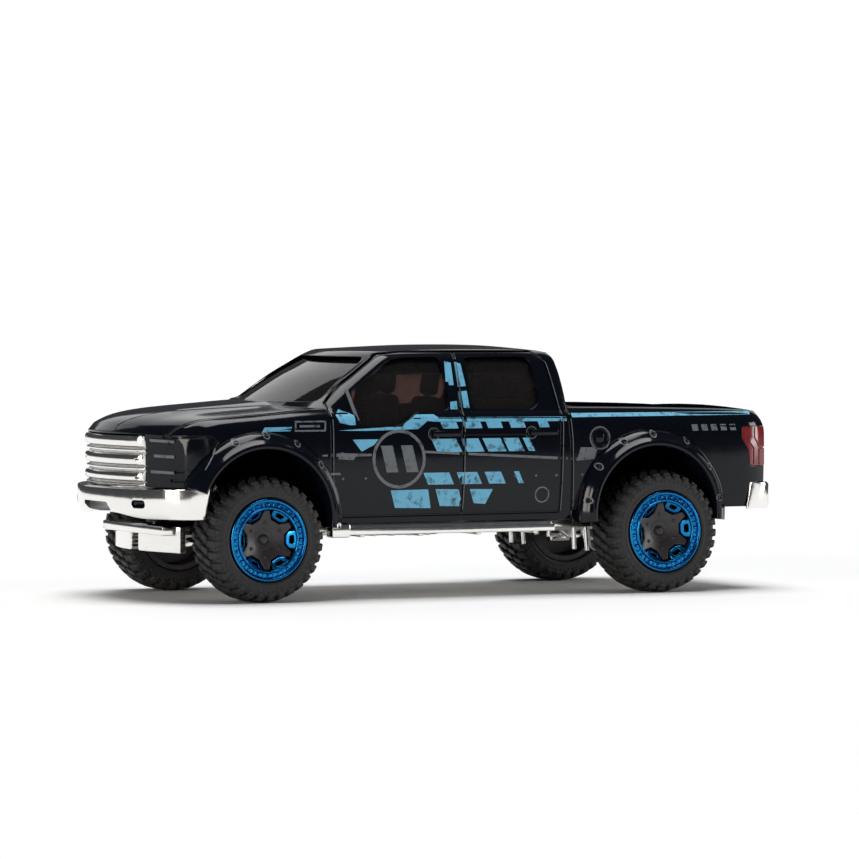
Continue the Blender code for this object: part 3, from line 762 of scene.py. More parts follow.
# The core is the lower body and the cab, both a groove's depth smaller.
core = carve(body_block("core", GROOVE_DEEP), [cab_block("core_cab", GROOVE_DEEP)], "UNION")
for tool in groove_tools():
    carve(tool, [core], keep=True)
    carve(body, [tool])
bpy.data.objects.remove(core)
print("after the shut lines:", len(body.data.polygons), "faces")


# %% [markdown]
# ## Wheel-arch flares
# A flare is one section carried round the wheel, so it is swept: the section is drawn as radius and
# reach from the centre line, and each step turns it further round the axle. The front one stops
# where the bumper starts.

# %% Sweep the flares
FLARE_SECTION = [
    (7.55, 12.3), (7.5, 14.75), (7.62, 15.05), (7.85, 15.18), (8.15, 15.1), (8.4, 14.75), (8.62, 14.5),
    (8.95, 14.28), (9.2, 13.95), (9.36, 13.5), (9.42, 12.3),
]
FLARE_ARCS = {"front": (-7, 158), "rear": (-6, 186)}


def flare_mesh(kind, side, steps=44):
    y, z, radius = ARCHES[kind]
    first, last = (math.radians(a) for a in FLARE_ARCS[kind])

    def place(i, reach, x):
        angle = first + (last - first) * i / steps
        reach += radius - 7.6
        return side * x, y + reach * math.cos(angle), z + reach * math.sin(angle)

    return sweep_mesh(FLARE_SECTION, place, steps)


flares = [
    to_object(flare_mesh(kind, side), f"{kind}_flare_{hand}")
    for kind in ARCHES for side, hand in HANDS.items()
]
carve(body, flares, "UNION")
print("with flares:", len(body.data.polygons), "faces")


# %% [markdown]
# ## Small cast details
# Handles, rivets and the fuel door stand a few tenths of a millimetre proud of the sides. A ray
# shot at the body finds the surface under each one.

# %% Find the surface
def surface(obj):
    """A function that gives the surface point and its normal at (y, z) on a side, in millimetres."""
    tree = BVHTree.FromObject(obj, bpy.context.evaluated_depsgraph_get())

    def reach(y, z, side=1):
        start = Vector((side * 0.03, y * MM + ORIGIN.y, z * MM))
        hit, normal, _, _ = tree.ray_cast(start, Vector((-side, 0, 0)))
        if hit is None:
            return None, None
        return (hit - ORIGIN) / MM, normal

    return reach


body_side = surface(body)
RIVETS = [
    (-27.6, 17.2), (-24.05, 17.9), (-20.4, 17.0), (-17.7, 14.7), (14.6, 10.3), (16.0, 14.0), (19.1, 16.7),
    (22.7, 17.5), (27.0, 16.7), (29.6, 13.85), (30.7, 10.4),
]
HANDLES = [(-3.9, -0.5, 17.8), (8.0, 11.4, 17.8)]
FUEL_DOOR = (16.6, 17.1)


def rivet_mesh():
    """A domed head with a small dimple, turned about Z."""
    profile = [
        (0.0, -0.25), (0.3, -0.25), (0.31, 0.02), (0.26, 0.08), (0.17, 0.08), (0.12, 0.03), (0.0, 0.02),
    ]
    return turned_mesh(profile, 14, closed=False)


def details_mesh():
    parts = []
    for side in HANDS:
        for y, z in RIVETS:
            at, normal = body_side(y, z, side)
            turn = Vector((0, 0, 1)).rotation_difference(normal).to_matrix().to_4x4()
            parts.append(moved(rivet_mesh(), Matrix.Translation(at) @ turn))
        for low, high, z in HANDLES:
            at, _ = body_side((low + high) / 2, z, side)
            out = side * at.x
            grip = side_box(side, (out - 0.2, out + 0.28), (low, high), (z - 0.32, z + 0.32))
            parts.append(round_edges(grip, 0.12, 2))
            bezel = turned_mesh([(0.42, -0.3), (0.56, -0.3), (0.56, 0.16), (0.49, 0.2), (0.42, 0.14)], 20)
            parts.append(moved(bezel, Matrix.Translation((at.x, low + 0.2, z)) @ outward(side)))
        at, _ = body_side(*FUEL_DOOR, side)
        out = side * at.x
        lid = turned_mesh([(0.92, -0.3), (1.12, -0.3), (1.12, 0.06), (1.02, 0.12), (0.92, 0.06)], 28)
        parts.append(moved(lid, Matrix.Translation(at) @ outward(side)))
        latch = side_box(side, (out - 0.3, out + 0.08), (16.1, 17.1), (16.55, 17.65))
        parts.append(round_edges(latch, 0.15, 2))
    return joined(parts)


piece(to_object(details_mesh(), "rivets_and_handles"), "root", "black_enamel")


# %% [markdown]
# ## Glazing and cabin
# All the windows are one thin moulding that fills the cab from inside, so it is the cab's form drawn
# smaller, less the same form drawn smaller still. The cabin moulding under it is blocks with soft
# edges, which is all that the real one is.

# %% The glazing
glazing = cab_block("glazing", 0.52, 18.2)
carve(glazing, [cab_block("glazing_space", 0.95, 17.4)])
repaint(glazing, smoke)
piece(glazing, "root", "smoke_glazing", "window_glazing")


# %% The cabin moulding
def seat_mesh(middle, half, front, rear, base, top, head):
    """A cushion, and a back and headrest that lean about the cushion's rear edge."""
    cushion = soft_box((middle - half, front, 9.0), (middle + half, rear, base), 0.7)
    side_half = half - 0.2
    squab = soft_box((middle - side_half, rear - 1.4, base - 0.6), (middle + side_half, rear, top), 0.65)
    rest = soft_box((middle - 1.45, rear - 1.2, top + 0.15), (middle + 1.45, rear, head), 0.5)
    post = box_mesh((middle - 0.7, rear - 0.75, top - 0.5), (middle + 0.7, rear - 0.45, top + 0.6))
    hinge = Matrix.Translation((0, rear, base))
    lean = hinge @ Matrix.Rotation(-0.12, 4, "X") @ hinge.inverted()
    return [cushion] + [moved(part, lean) for part in (squab, rest, post)]


def steering_wheel_mesh():
    turns = [math.tau * i / 10 for i in range(10)]
    rim = turned_mesh([(1.95 + 0.24 * math.cos(a), 0.24 * math.sin(a)) for a in turns], 28)
    spoke = soft_box((-1.9, -0.35, -0.14), (1.9, 0.35, 0.14), 0.1, 2)
    boss = bar_mesh(0.6, (0, 0, -0.3), (0, 0, 0.3), 16)
    tilt = Matrix.Translation((5.4, -8.6, 18.6)) @ Matrix.Rotation(math.radians(68), 4, "X")
    return moved(joined([rim, spoke, boss]), tilt)


def cabin_mesh():
    parts = [
        box_mesh((-10.9, -13.8, 8.5), (10.9, 11.4, 9.4)),
        soft_box((-10.8, -13.9, 9.0), (10.8, -11.2, 18.9), 0.8),
        soft_box((-10.6, -13.6, 17.9), (10.6, -12.0, 19.6), 0.7),
        soft_box((-1.4, -12.0, 9.0), (1.4, 6.0, 13.4), 0.5),
        bar_mesh(0.35, (5.4, -12.0, 17.3), (5.4, -8.7, 18.6), 12),
        steering_wheel_mesh(),
    ]
    for side in HANDS:
        parts += seat_mesh(side * 5.4, 3.1, -6.6, -0.9, 13.4, 21.6, 24.2)
        parts += seat_mesh(side * 5.2, 4.2, 3.6, 9.2, 13.6, 21.2, 23.4)
    return joined(parts)


cabin = to_object(cabin_mesh(), "cabin_moulding", cabin_plastic)
piece(cabin, "root", "cabin_plastic", "cabin_interior")


# %% [markdown]
# ## Tail lamps
# Each lens is the part of the body's own form that the pocket took away, drawn a hair larger, so it
# carries on the curve of the corner. Cutting thin lines into it leaves the printed cells.

# %% The lenses
LAMP_CELLS = [
    [(36.3, 18.0), (36.25, 16.9), (36.95, 15.9), (36.95, 13.9)],
    [(35.2, 18.0), (35.2, 16.75), (36.1, 15.7), (36.1, 13.9)],
    [(36.95, 15.75), (38.6, 15.75)],
]
for side, hand in HANDS.items():
    lens = body_block(f"tail_lamp_lens_{hand}", -0.05)
    shape = slab_mesh(rounded(LAMP, 0.3), "side", side * 11.3, side * 15)
    # The pocket's outline shrunk by a hair about its own middle leaves a fine gap all round.
    middle = Matrix.Translation((0, 37, 16))
    moved(shape, middle @ Matrix.Diagonal((1, 0.985, 0.985, 1)) @ middle.inverted())
    carve(lens, [to_object(shape, "lens_shape")], "INTERSECT")
    inner = body_block("lens_core", 0.07)
    for i, cell in enumerate(LAMP_CELLS):
        line = to_object(slab_mesh(stroke(cell, 0.16), "side", side * 8.0, side * 18), f"lens_line_{i}")
        carve(line, [inner], keep=True)
        carve(lens, [line])
    bpy.data.objects.remove(inner)
    repaint(lens, lens_red)
    piece(lens, "root", "red_lens", f"tail_lamp_{hand}")


# %% [markdown]
# ## Plated bumpers and grille
# Each is one section swept across the truck. The plan curve gives how far forward the piece is at
# each step, so the same bow runs through the grille, the bumper and the pocket behind them.

# %% The front bumper
BUMPER_PLAN = smooth_curve(
    (0.0, -37.95), (4.0, -37.7), (8.6, -36.35), (11.2, -34.9), (12.6, -33.3), (13.35, -31.9), (13.6, -30.4)
)
BUMPER_SECTION = [
    (1.5, 12.2), (0.35, 12.2), (0.12, 12.12), (0.0, 11.85), (0.02, 10.6), (0.1, 9.9), (0.45, 9.25),
    (0.75, 8.95), (1.5, 8.95),
]
FOG_LAMP_X = 9.6


def bumper_place(i, depth, z):
    """Equal steps of angle crowd the sections together where the bumper turns its corners."""
    x = 13.55 * math.sin((i / 48 - 0.5) * math.pi)
    lift = 0.55 * (1 - step(3.0, 9.0, abs(x))) * (1 - step(9.2, 10.8, z))
    corner = step(11.0, 13.4, abs(x))
    y = BUMPER_PLAN(abs(x)) + depth * (1 - 0.6 * corner) - corner * (12.2 - z) * 0.12
    return x * (1 - 0.02 * (1 - step(9.0, 11.0, z))), y, z + lift


bumper = to_object(sweep_mesh(BUMPER_SECTION, bumper_place, 48), "front_bumper_plated", plating)
notches = [to_object(soft_box((-3.2, -40, 9.0), (3.2, -37.25, 10.6), 0.4, 2), "intake")]
for side in HANDS:
    lamp_place = Matrix.Translation((side * FOG_LAMP_X, BUMPER_PLAN(FOG_LAMP_X) - 2.55, 10.55))
    lamp = soft_box((-1.0, -3, -0.42), (1.0, 3, 0.42), 0.38)
    notches.append(to_object(moved(lamp, lamp_place @ Matrix.Rotation(side * 0.55, 4, "Z")), "fog_lamp"))
carve(bumper, notches)
piece(bumper, "root", "silver_plating", "front_bumper")


# %% The grille
def grille_section():
    """The face from top to bottom as (depth, z): three broad bars with a thin rib between each pair."""
    points = [(1.6, 17.88)]
    for top, low in ((17.85, 16.55), (15.85, 14.6), (13.92, 12.85)):
        points += [
            (0.35, top), (0.12, top - 0.12), (0.0, top - 0.4), (0.0, low + 0.4), (0.1, low + 0.14),
            (0.3, low + 0.03), (0.62, low), (0.62, low - 0.09), (0.22, low - 0.15), (0.16, low - 0.3),
            (0.22, low - 0.48), (0.62, low - 0.54), (0.62, low - 0.62),
        ]
    points.append((1.6, 12.22))
    return points


def grille_place(i, depth, z):
    x = 7.6 * math.sin((i / 40 - 0.5) * math.pi)
    bite = 0.35 * step(7.0, 7.6, abs(x)) + 0.25 * step(5.9, 6.3, abs(x)) * (1 - step(6.7, 7.0, abs(x)))
    return x, -37.15 + 0.022 * x * x + depth * (1 + 0.2 * abs(x) / 7.6) + bite * (1 - min(depth, 1.0)), z


grille = to_object(sweep_mesh(grille_section(), grille_place, 40), "grille_plated", plating)
slots = []
for side in HANDS:
    for z in (15.25, 13.3):
        slots.append(to_object(side_box(side, (6.5, 9), (-40, -35.75), (z - 0.07, z + 0.07)), "slot"))
carve(grille, slots)
piece(grille, "root", "silver_plating", "grille")


# %% The rear bumper
REAR_PLAN = smooth_curve((0.0, 39.15), (6.0, 39.1), (10.6, 38.95), (12.2, 38.5), (12.85, 37.6), (13.1, 36.2))
REAR_SECTION = [(-1.7, 11.9), (-0.25, 11.9), (0.0, 11.65), (0.0, 9.35), (-0.2, 9.0), (-1.7, 9.0)]


def rear_place(i, depth, z):
    x = 13.05 * math.sin((i / 36 - 0.5) * math.pi)
    y = REAR_PLAN(abs(x))
    corner = step(11.8, 13.0, abs(x))
    return x, y + depth * (1 - 0.5 * corner) - corner * (11.9 - z) * 0.18, z


rear_bumper = to_object(sweep_mesh(REAR_SECTION, rear_place, 36), "rear_bumper_plated", plating)
tread = [
    to_object(soft_box((-3.4, 38.2, 11.35), (3.4, 41, 12.6), 0.2, 2), "step_cut"),
    to_object(soft_box((-2.6, 38.7, 9.5), (2.6, 41, 10.9), 0.25, 2), "plate_recess"),
]
for side in HANDS:
    cut = round_edges(side_box(side, (5.0, 11.0), (37.9, 38.75), (11.72, 12.6)), 0.1, 2)
    tread.append(to_object(cut, "tread_cut"))
carve(rear_bumper, tread)
piece(rear_bumper, "root", "silver_plating", "rear_bumper")


# %% [markdown]
# ## The plated base
# The base is one moulding that carries the sills, the axle housings and a show of suspension parts.
# It is made of many small shapes joined by Boolean unions, so the plating runs over it as one skin.

# %% Base plate, sills and skid plates
def disc_mesh(radius, centre, axis, low, high, sides=28):
    """A round bar along one axis, from low to high past the centre."""
    start, end = Vector(centre), Vector(centre)
    start[axis] += low
    end[axis] += high
    return bar_mesh(radius, start, end, sides)


def sill_mesh(side):
    """The rail under the doors, with a raised lip along its top and a step at its rear end."""
    rail = round_edges(side_box(side, (9.5, 13.25), (-15.4, 11.2), (7.0, 7.75)), 0.12, 2)
    lip = round_edges(side_box(side, (9.5, 12.95), (-14.6, 11.0), (7.6, 8.15)), 0.1, 2)
    foot = round_edges(side_box(side, (11.4, 13.3), (-15.8, -13.6), (6.75, 8.2)), 0.2, 2)
    return [rail, lip, foot]


def skid_mesh(side):
    """A plate below the bumper, bent to the nose's curve, and its ribs."""
    outline = stroke([(side * x, -32.8 + 0.02 * x * x) for x in (1.1, 3.0, 5.0, 7.0, 8.65)], 0.8)
    parts = [slab_mesh(outline, "plan", 5.2, 8.0)]
    parts += [disc_mesh(0.32, (side * 1.15, -32.9, 5.55 + 0.42 * k), 1, -0.25, 0.6, 8) for k in range(6)]
    return parts


# The links, shock and struts beside each wheel: radius, number of sides and both ends as (x, y, z).
# x is measured outwards, and y from the axle towards the middle of the truck.
SUSPENSION = [
    (0.42, 12, (6.9, -3.0, 5.1), (6.4, 6.6, 7.6)),
    (0.3, 12, (7.0, 3.2, 5.2), (7.0, 3.2, 11.0)),
    (0.55, 12, (7.0, 3.2, 7.6), (7.0, 3.2, 10.6)),
    (0.3, 12, (7.0, 4.7, 5.5), (7.3, 5.4, 11.0)),
    (0.3, 12, (5.0, 1.5, 5.2), (7.3, 6.4, 9.6)),
    (0.24, 10, (7.7, 6.0, 4.4), (7.7, 6.3, 8.0)),
    (0.24, 10, (7.7, 7.6, 4.6), (7.7, 7.7, 8.0)),
]


def suspension_parts(side, kind, forward):
    """The bars of SUSPENSION, the shock's foot and its coils."""
    y = AXLE_Y[kind]
    parts = []
    for radius, sides, *ends in SUSPENSION:
        start, end = [(side * x, y + along * forward, z) for x, along, z in ends]
        parts.append(bar_mesh(radius, start, end, sides))
    x, foot = side * 7.0, y + 2.4 * forward
    parts.append(soft_box((x - 0.7, foot - 0.8, 4.7), (x + 0.7, foot + 1.6, 5.7), 0.25, 2))
    for k in range(5):
        parts.append(disc_mesh(0.78, (x, y + 3.2 * forward, 7.9 + 0.55 * k), 2, -0.12, 0.12, 16))
    return parts


# %% Floor pan, transfer case, muffler, drive shaft and exhaust
def base_parts():
    parts = [
        soft_box((-8.2, -33.5, 7.05), (8.2, 27.4, 8.1), 0.2, 2),
        soft_box((-4.2, 27.0, 7.05), (4.2, 35.2, 8.1), 0.2, 2),
        soft_box((-13.0, -14.8, 7.2), (13.0, 10.9, 8.1), 0.15, 2),
        soft_box((-4.4, -8.4, 6.4), (4.4, 1.4, 7.6), 0.3),
        soft_box((-7.8, 3.2, 6.45), (-4.4, 12.4, 7.9), 0.6, 4),
        bar_mesh(0.6, (0.4, -21.0, 6.9), (0.4, -8.0, 6.9), 20),
        bar_mesh(0.6, (0.4, 1.0, 6.9), (0.4, 21.5, 6.9), 20),
        bar_mesh(0.5, (-5.9, -14.5, 7.0), (-5.9, 4.0, 7.0), 16),
        bar_mesh(0.5, (-5.9, 12.0, 7.0), (-6.4, 20.6, 7.0), 16),
    ]
    for i in range(4):
        y = -6.9 + 2.2 * i
        parts.append(soft_box((-4.7, y, 6.35), (4.7, y + 0.5, 7.4), 0.12, 2))
    for side in HANDS:
        parts += sill_mesh(side) + skid_mesh(side)
        for y in (-12, -5, 2, 9):
            bracket = side_box(side, (8.5, 12.9), (y - 0.3, y + 0.3), (6.75, 7.3))
            parts.append(round_edges(bracket, 0.1, 2))
        parts += suspension_parts(side, "front", 1) + suspension_parts(side, "rear", -1)
    return parts


def axle_housing_parts(kind, offset, reach):
    """Tubes round the axle, a bowl with its cover and a ring of bolts on the cover."""
    y, bowl_z = AXLE_Y[kind], AXLE_Z - 0.55
    facing = -1 if kind == "front" else 1
    bowl = bmesh.new()
    bmesh.ops.create_uvsphere(
        bowl, u_segments=32, v_segments=16, radius=reach, matrix=Matrix.Translation((offset, y, bowl_z)),
    )
    parts = [
        bar_mesh(1.25, (-7.7, y, AXLE_Z), (7.7, y, AXLE_Z), 24), bowl,
        disc_mesh(reach * 0.86, (offset, y, bowl_z), 1, 0.0, facing * reach * 0.78),
    ]
    for k in range(8):
        angle = math.tau * k / 8
        x, z = offset + reach * 0.72 * math.cos(angle), bowl_z + reach * 0.72 * math.sin(angle)
        parts.append(disc_mesh(0.17, (x, y, z), 1, 0.0, facing * (reach * 0.78 + 0.14), 6))
    for side in HANDS:
        parts.append(disc_mesh(1.75, (side * 7.1, y, AXLE_Z), 0, -0.35, 0.35, 24))
        x = side * 6.6
        parts.append(soft_box((x - 0.9, y - 1.5, 7.0), (x + 0.9, y + 1.5, 8.0), 0.2, 2))
    return parts


# %% Join the base and bore it for the axles and posts
POST_Y = (-30.5, 31.5)
parts = base_parts() + axle_housing_parts("front", 2.2, 2.2) + axle_housing_parts("rear", 0.0, 2.5)
base, *added = [to_object(part, f"plated_base_{i}", plating) for i, part in enumerate(parts)]
base.name = "plated_base"
carve(base, added, "UNION")
bores = [
    to_object(disc_mesh(0.66, (axle - ORIGIN) / MM, 0, -20, 20, 24), f"{kind}_bore")
    for kind, axle in AXLES.items()
]
bores += [to_object(disc_mesh(1.4, (0, y, 8), 2, -6, 6, 28), "post_bore") for y in POST_Y]
carve(base, bores)
piece(base, "root", "silver_plating", "chassis_base")


# %% The rivet posts that hold the truck together
POST_PROFILE = [
    (0.0, 6.3), (0.5, 6.32), (0.6, 6.5), (1.5, 6.42), (2.0, 6.62), (2.1, 6.85), (1.25, 6.95), (1.25, 12.9),
    (0.0, 12.9),
]
heads = [
    moved(turned_mesh(POST_PROFILE, 32, closed=False), Matrix.Translation((0, y, 0))) for y in POST_Y
]
piece(to_object(joined(heads), "rivet_posts"), "root", "black_enamel")


# %% [markdown]
# ## Wheels
# A tyre is a turned carcass with rings of identical blocks. One block is modelled, and the spin
# operator in its duplicate mode lays the others round the axis. All wheel shapes are drawn about Z
# with the outer face up, then each corner gets its own copy turned to face outwards.

# %% Tyre
TYRE_R, LUGS = 6.75, 32


def ring_of(bm, count, turn=0.0):
    """Repeats a shape evenly about Z, the first copy turned by the given part of a pitch."""
    first = Matrix.Rotation(math.tau * turn / count, 3, "Z")
    bmesh.ops.rotate(bm, cent=(0, 0, 0), matrix=first, verts=bm.verts)
    bmesh.ops.spin(
        bm, geom=bm.verts[:] + bm.edges[:] + bm.faces[:], axis=(0, 0, 1), cent=(0, 0, 0),
        angle=math.tau * (count - 1) / count, steps=count - 1, use_duplicate=True,
    )
    return bm


def block(radial, around, axial, skew=0.0, slope=0.0, soft=0.1):
    """A tread block at +X. skew twists it round the tyre, and slope lowers its outer end."""
    bm = box_mesh((radial[0], -around / 2, axial[0]), (radial[1], around / 2, axial[1]))
    for vert in bm.verts:
        share = (vert.co.z - axial[0]) / (axial[1] - axial[0])
        vert.co.y += skew * (share - 0.5)
        if vert.co.x > radial[1] - 0.01:
            vert.co.x -= slope * share
    return round_edges(bm, soft, 1)


def tyre_mesh():
    """The carcass, and on each half two rings of tread, one of shoulder ribs and one of fine ribs."""
    half = [
        (4.5, 2.6), (4.62, 2.92), (4.85, 3.02), (5.05, 2.96), (5.25, 3.0), (5.75, 2.98), (6.05, 2.82),
        (6.26, 2.45), (6.34, 1.6), (6.36, 0.6),
    ]
    profile = half + [(r, -h) for r, h in reversed(half)]
    carcass = to_object(turned_mesh(profile, 96), "tyre_form", tyre_rubber)
    rows = []
    for face in (1, -1):
        shoulder = block((6.1, TYRE_R - 0.02), 0.82, (face * 1.62, face * 2.86), face * 0.12, 0.32)
        wall_rib = block((5.72, 6.42), 0.62, (face * 2.5, face * 3.09), 0, 0.3, 0.08)
        centre = block((6.1, TYRE_R), 0.78, (face * 0.12, face * 1.42), face * 0.42)
        fine_rib = block((5.35, 5.7), 0.2, (face * 2.6, face * 3.06), 0, 0.1, 0.05)
        phase = 0.25 * face
        rows += [
            ring_of(shoulder, LUGS, phase), ring_of(wall_rib, LUGS, phase),
            ring_of(centre, LUGS, phase + 0.5), ring_of(fine_rib, 2 * LUGS),
        ]
    lugs = [to_object(row, f"lugs_{i}", tyre_rubber) for i, row in enumerate(rows)]
    return carve(carcass, lugs, "UNION")


tyre = tyre_mesh()
print("tyre:", len(tyre.data.polygons), "faces")


# %% [markdown]
# The blue ring is turned too. Its bolts, the ribs between them and six open pads are each drawn once
# and spun round. The pads are drawn flat, and then every point is lowered by how far it lies inside
# the ring, which lays them on the wheel's shallow cone.

# %% Blue ring
RING_OUT, FACE = 4.46, 3.02
RING_PROFILE = [
    (3.28, 1.9), (3.26, 2.86), (3.34, 3.0), (3.46, 3.02), (3.56, 2.92), (3.62, 2.74), (4.0, 2.72),
    (4.06, 2.9), (4.14, FACE + 0.02), (4.28, FACE + 0.05), (4.4, FACE - 0.02), (RING_OUT, FACE - 0.16),
    (RING_OUT, 1.9),
]
PAD = [(2.32, -0.52), (2.62, -0.92), (3.5, -1.02), (3.5, 1.02), (2.62, 0.92), (2.32, 0.52)]
PAD_HOLE = [(2.66, -0.42), (3.08, -0.5), (3.08, 0.5), (2.66, 0.42)]


def dished(bm, rim, slope, low=-9.0):
    """Lowers what lies inside the rim radius and above low, so a flat shape follows a cone."""
    for vert in bm.verts:
        inside = max(0.0, rim - math.hypot(vert.co.x, vert.co.y))
        if vert.co.z > low:
            vert.co.z -= inside * slope
    return bm


def soften_top(bm, height, width, segments):
    top = [edge for edge in bm.edges if all(vert.co.z > height for vert in edge.verts)]
    return round_edges(bm, width, segments, top)


def ring_form():
    ring = to_object(turned_mesh(RING_PROFILE, 96), "ring_form", blue_plating)
    bolt = turned_mesh([(0.0, 2.5), (0.19, 2.5), (0.19, 2.86), (0.13, 2.95), (0.0, 2.97)], 8, closed=False)
    moved(bolt, Matrix.Translation((3.81, 0, 0)))
    rib = soft_box((3.5, -0.05, 2.5), (4.12, 0.05, 2.9), 0.03, 1)
    pad = soften_top(slab_mesh(rounded(PAD, 0.3), "plan", 2.2, 2.92), 2.9, 0.14, 2)
    hole = slab_mesh(rounded(PAD_HOLE, 0.18), "plan", 1.5, 4.0)
    adds = [
        to_object(ring_of(bolt, 20), "bolts", blue_plating),
        to_object(ring_of(rib, 20, 0.5), "ribs", blue_plating),
        to_object(dished(ring_of(pad, 6, 0.5), 3.5, 0.75), "pads", blue_plating),
    ]
    carve(ring, adds, "UNION")
    return carve(ring, [to_object(ring_of(hole, 6, 0.5), "pad_holes", blue_plating)])


ring = ring_form()
print("ring:", len(ring.data.polygons), "faces")


# %% [markdown]
# The hub is a turned barrel with a pocket for the axle's head. A six-pointed star lies on it. poke
# gives the star's flat top a middle vertex, so lowering that one point with the rest dishes it.

# %% Black hub
BARREL = [
    (0.0, 0.8), (1.6, 0.8), (2.6, 1.0), (3.2, 1.45), (3.24, 1.85), (4.46, 1.85), (4.46, -2.75),
    (3.9, -2.75), (3.7, -0.9), (1.9, -0.9), (1.75, -2.4), (0.66, -2.4), (0.66, 0.0), (1.0, 0.0),
    (1.0, 0.7), (0.0, 0.7),
]
CAP = [
    (0.0, 0.8), (1.15, 0.8), (1.15, 1.5), (1.05, 1.6), (0.85, 1.56), (0.56, 1.46), (0.52, 1.62),
    (0.36, 1.78), (0.0, 1.84),
]
STAR_CORNERS = ((-0.09, 3.2), (0.09, 3.2), (0.28, 2.28), (0.72, 2.28))      # (part of a sixth turn, radius)


def star_mesh():
    outline = []
    for k in range(6):
        for part, radius in STAR_CORNERS:
            angle = math.tau * (k + part) / 6
            outline.append((radius * math.cos(angle), radius * math.sin(angle)))
    star = soften_top(slab_mesh(outline, "plan", 0.76, 2.6), 2.4, 0.16, 3)
    bmesh.ops.poke(star, faces=[max(star.faces, key=lambda face: face.calc_center_median().z)])
    return dished(star, 3.3, 0.46, 1.5)


def hub_form():
    hub = to_object(turned_mesh(BARREL, 64, closed=False), "hub_form", hub_plastic)
    nut = turned_mesh([(0.0, 1.2), (0.2, 1.2), (0.2, 2.02), (0.12, 2.1), (0.0, 2.1)], 6, closed=False)
    moved(nut, Matrix.Translation((1.9, 0, 0)))
    adds = [("star", star_mesh()), ("cap", turned_mesh(CAP, 40, closed=False)), ("nuts", ring_of(nut, 6))]
    return carve(hub, [to_object(bm, label, hub_plastic) for label, bm in adds], "UNION")


hub = hub_form()
print("hub:", len(hub.data.polygons), "faces")


# %% [markdown]
# Wheels on a toy stop wherever they happen to, so each corner's copy gets its own phase. The axles
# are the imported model's own meshes and only need their steel.

# %% Put a copy at each corner
PHASES = {"front_left": 0.0, "front_right": 0.35, "rear_left": 0.1, "rear_right": 0.8}
WHEEL_FORMS = (
    (tyre, "tyre_tread", "tyre_rubber", "tyre"), (ring, "blue_ring", "blue_plating", "rim_ring"),
    (hub, "hub_star", "hub_plastic", "hub"),
)
for corner, side in CORNERS.items():
    middle = Matrix.Translation(centre_of(f"tyre_{corner}"))
    turn = outward(side) @ Matrix.Rotation(PHASES[corner], 4, "Z")
    for form, label, slot, node in WHEEL_FORMS:
        mesh = form.data.copy()
        mesh.transform(middle @ turn @ Matrix.Translation(-ORIGIN))
        copy = bpy.data.objects.new(f"{label}_{corner}", mesh)
        bpy.context.scene.collection.objects.link(copy)
        piece(copy, f"wheel_{corner}", slot, f"{node}_{corner}")
for form, *_ in WHEEL_FORMS:
    bpy.data.objects.remove(form)
for kind in AXLES:
    repaint(bpy.data.objects[f"{kind}_axle"], axle_steel)


# %% [markdown]
# ## Printed graphics
# The prints are thin skins of ink. Each patch starts as a grid of small squares, is cut to its
# outline with bisect_plane, and every point is then dropped onto the finished body side, so the ink
# follows the doors. Two procedural inks break up at the edges as worn tampo print does.

# %% Inks and the patch helper
def ink(name, colour, dark, scale):
    """A flat print colour, mottled by noise so that small flecks of the black show through."""
    material = finish(name, colour, 0.42, uneven=0.05, bump=0.02)
    nodes, links = material.node_tree.nodes, material.node_tree.links
    place = nodes.new("ShaderNodeTexCoord")
    noise = nodes.new("ShaderNodeTexNoise")
    noise.inputs["Scale"].default_value = scale
    noise.inputs["Detail"].default_value = 6.0
    noise.inputs["Roughness"].default_value = 0.75
    ramp = nodes.new("ShaderNodeValToRGB")
    for element, position, shade in zip(ramp.color_ramp.elements, (0.36, 0.47), (dark, colour)):
        element.position, element.color = position, (*shade, 1)
    links.new(place.outputs["Object"], noise.inputs["Vector"])
    links.new(noise.outputs["Fac"], ramp.inputs["Fac"])
    links.new(ramp.outputs["Color"], nodes["Principled BSDF"].inputs["Base Color"])
    return material


sky_ink = ink("sky_blue_ink", (0.13, 0.42, 0.62), (0.03, 0.09, 0.13), 900)
grey_ink_and_highlights = ink("grey_ink_and_highlights", (0.12, 0.135, 0.15), (0.02, 0.022, 0.026), 1100)
print("inks:", sky_ink.name, "and", grey_ink_and_highlights.name)


def patch(outline, side, cell, lift):
    """A skin of ink, or of painted highlight, on the body side. outline is convex, as (y, z) pairs in mm."""
    ys, zs = zip(*outline)
    long, high = max(ys) - min(ys), max(zs) - min(zs)
    centre = Matrix.Translation(((max(ys) + min(ys)) / 2, (max(zs) + min(zs)) / 2, 0))
    bm = bmesh.new()
    bmesh.ops.create_grid(
        bm, x_segments=max(1, round(long / cell)), y_segments=max(1, round(high / cell)), size=0.5,
        matrix=centre @ Matrix.Diagonal((long, high, 1, 1)),
    )
    middle = Vector((sum(ys) / len(ys), sum(zs) / len(zs), 0))
    for first, second in zip(outline, outline[1:] + outline[:1]):
        start = Vector((*first, 0))
        away = Vector((second[1] - first[1], first[0] - second[0], 0))
        if away.dot(middle - start) > 0:
            away.negate()
        whole = bm.verts[:] + bm.edges[:] + bm.faces[:]
        bmesh.ops.bisect_plane(bm, geom=whole, plane_co=start, plane_no=away, clear_outer=True)
    missed = []
    for vert in bm.verts:
        point, normal = body_side(vert.co.x, vert.co.y, side)
        if point is None or side * point.x < 8:
            missed.append(vert)
        else:
            vert.co = point + normal * lift
    bmesh.ops.delete(bm, geom=missed, context="VERTS")
    bmesh.ops.recalc_face_normals(bm, faces=bm.faces[:])
    return bm


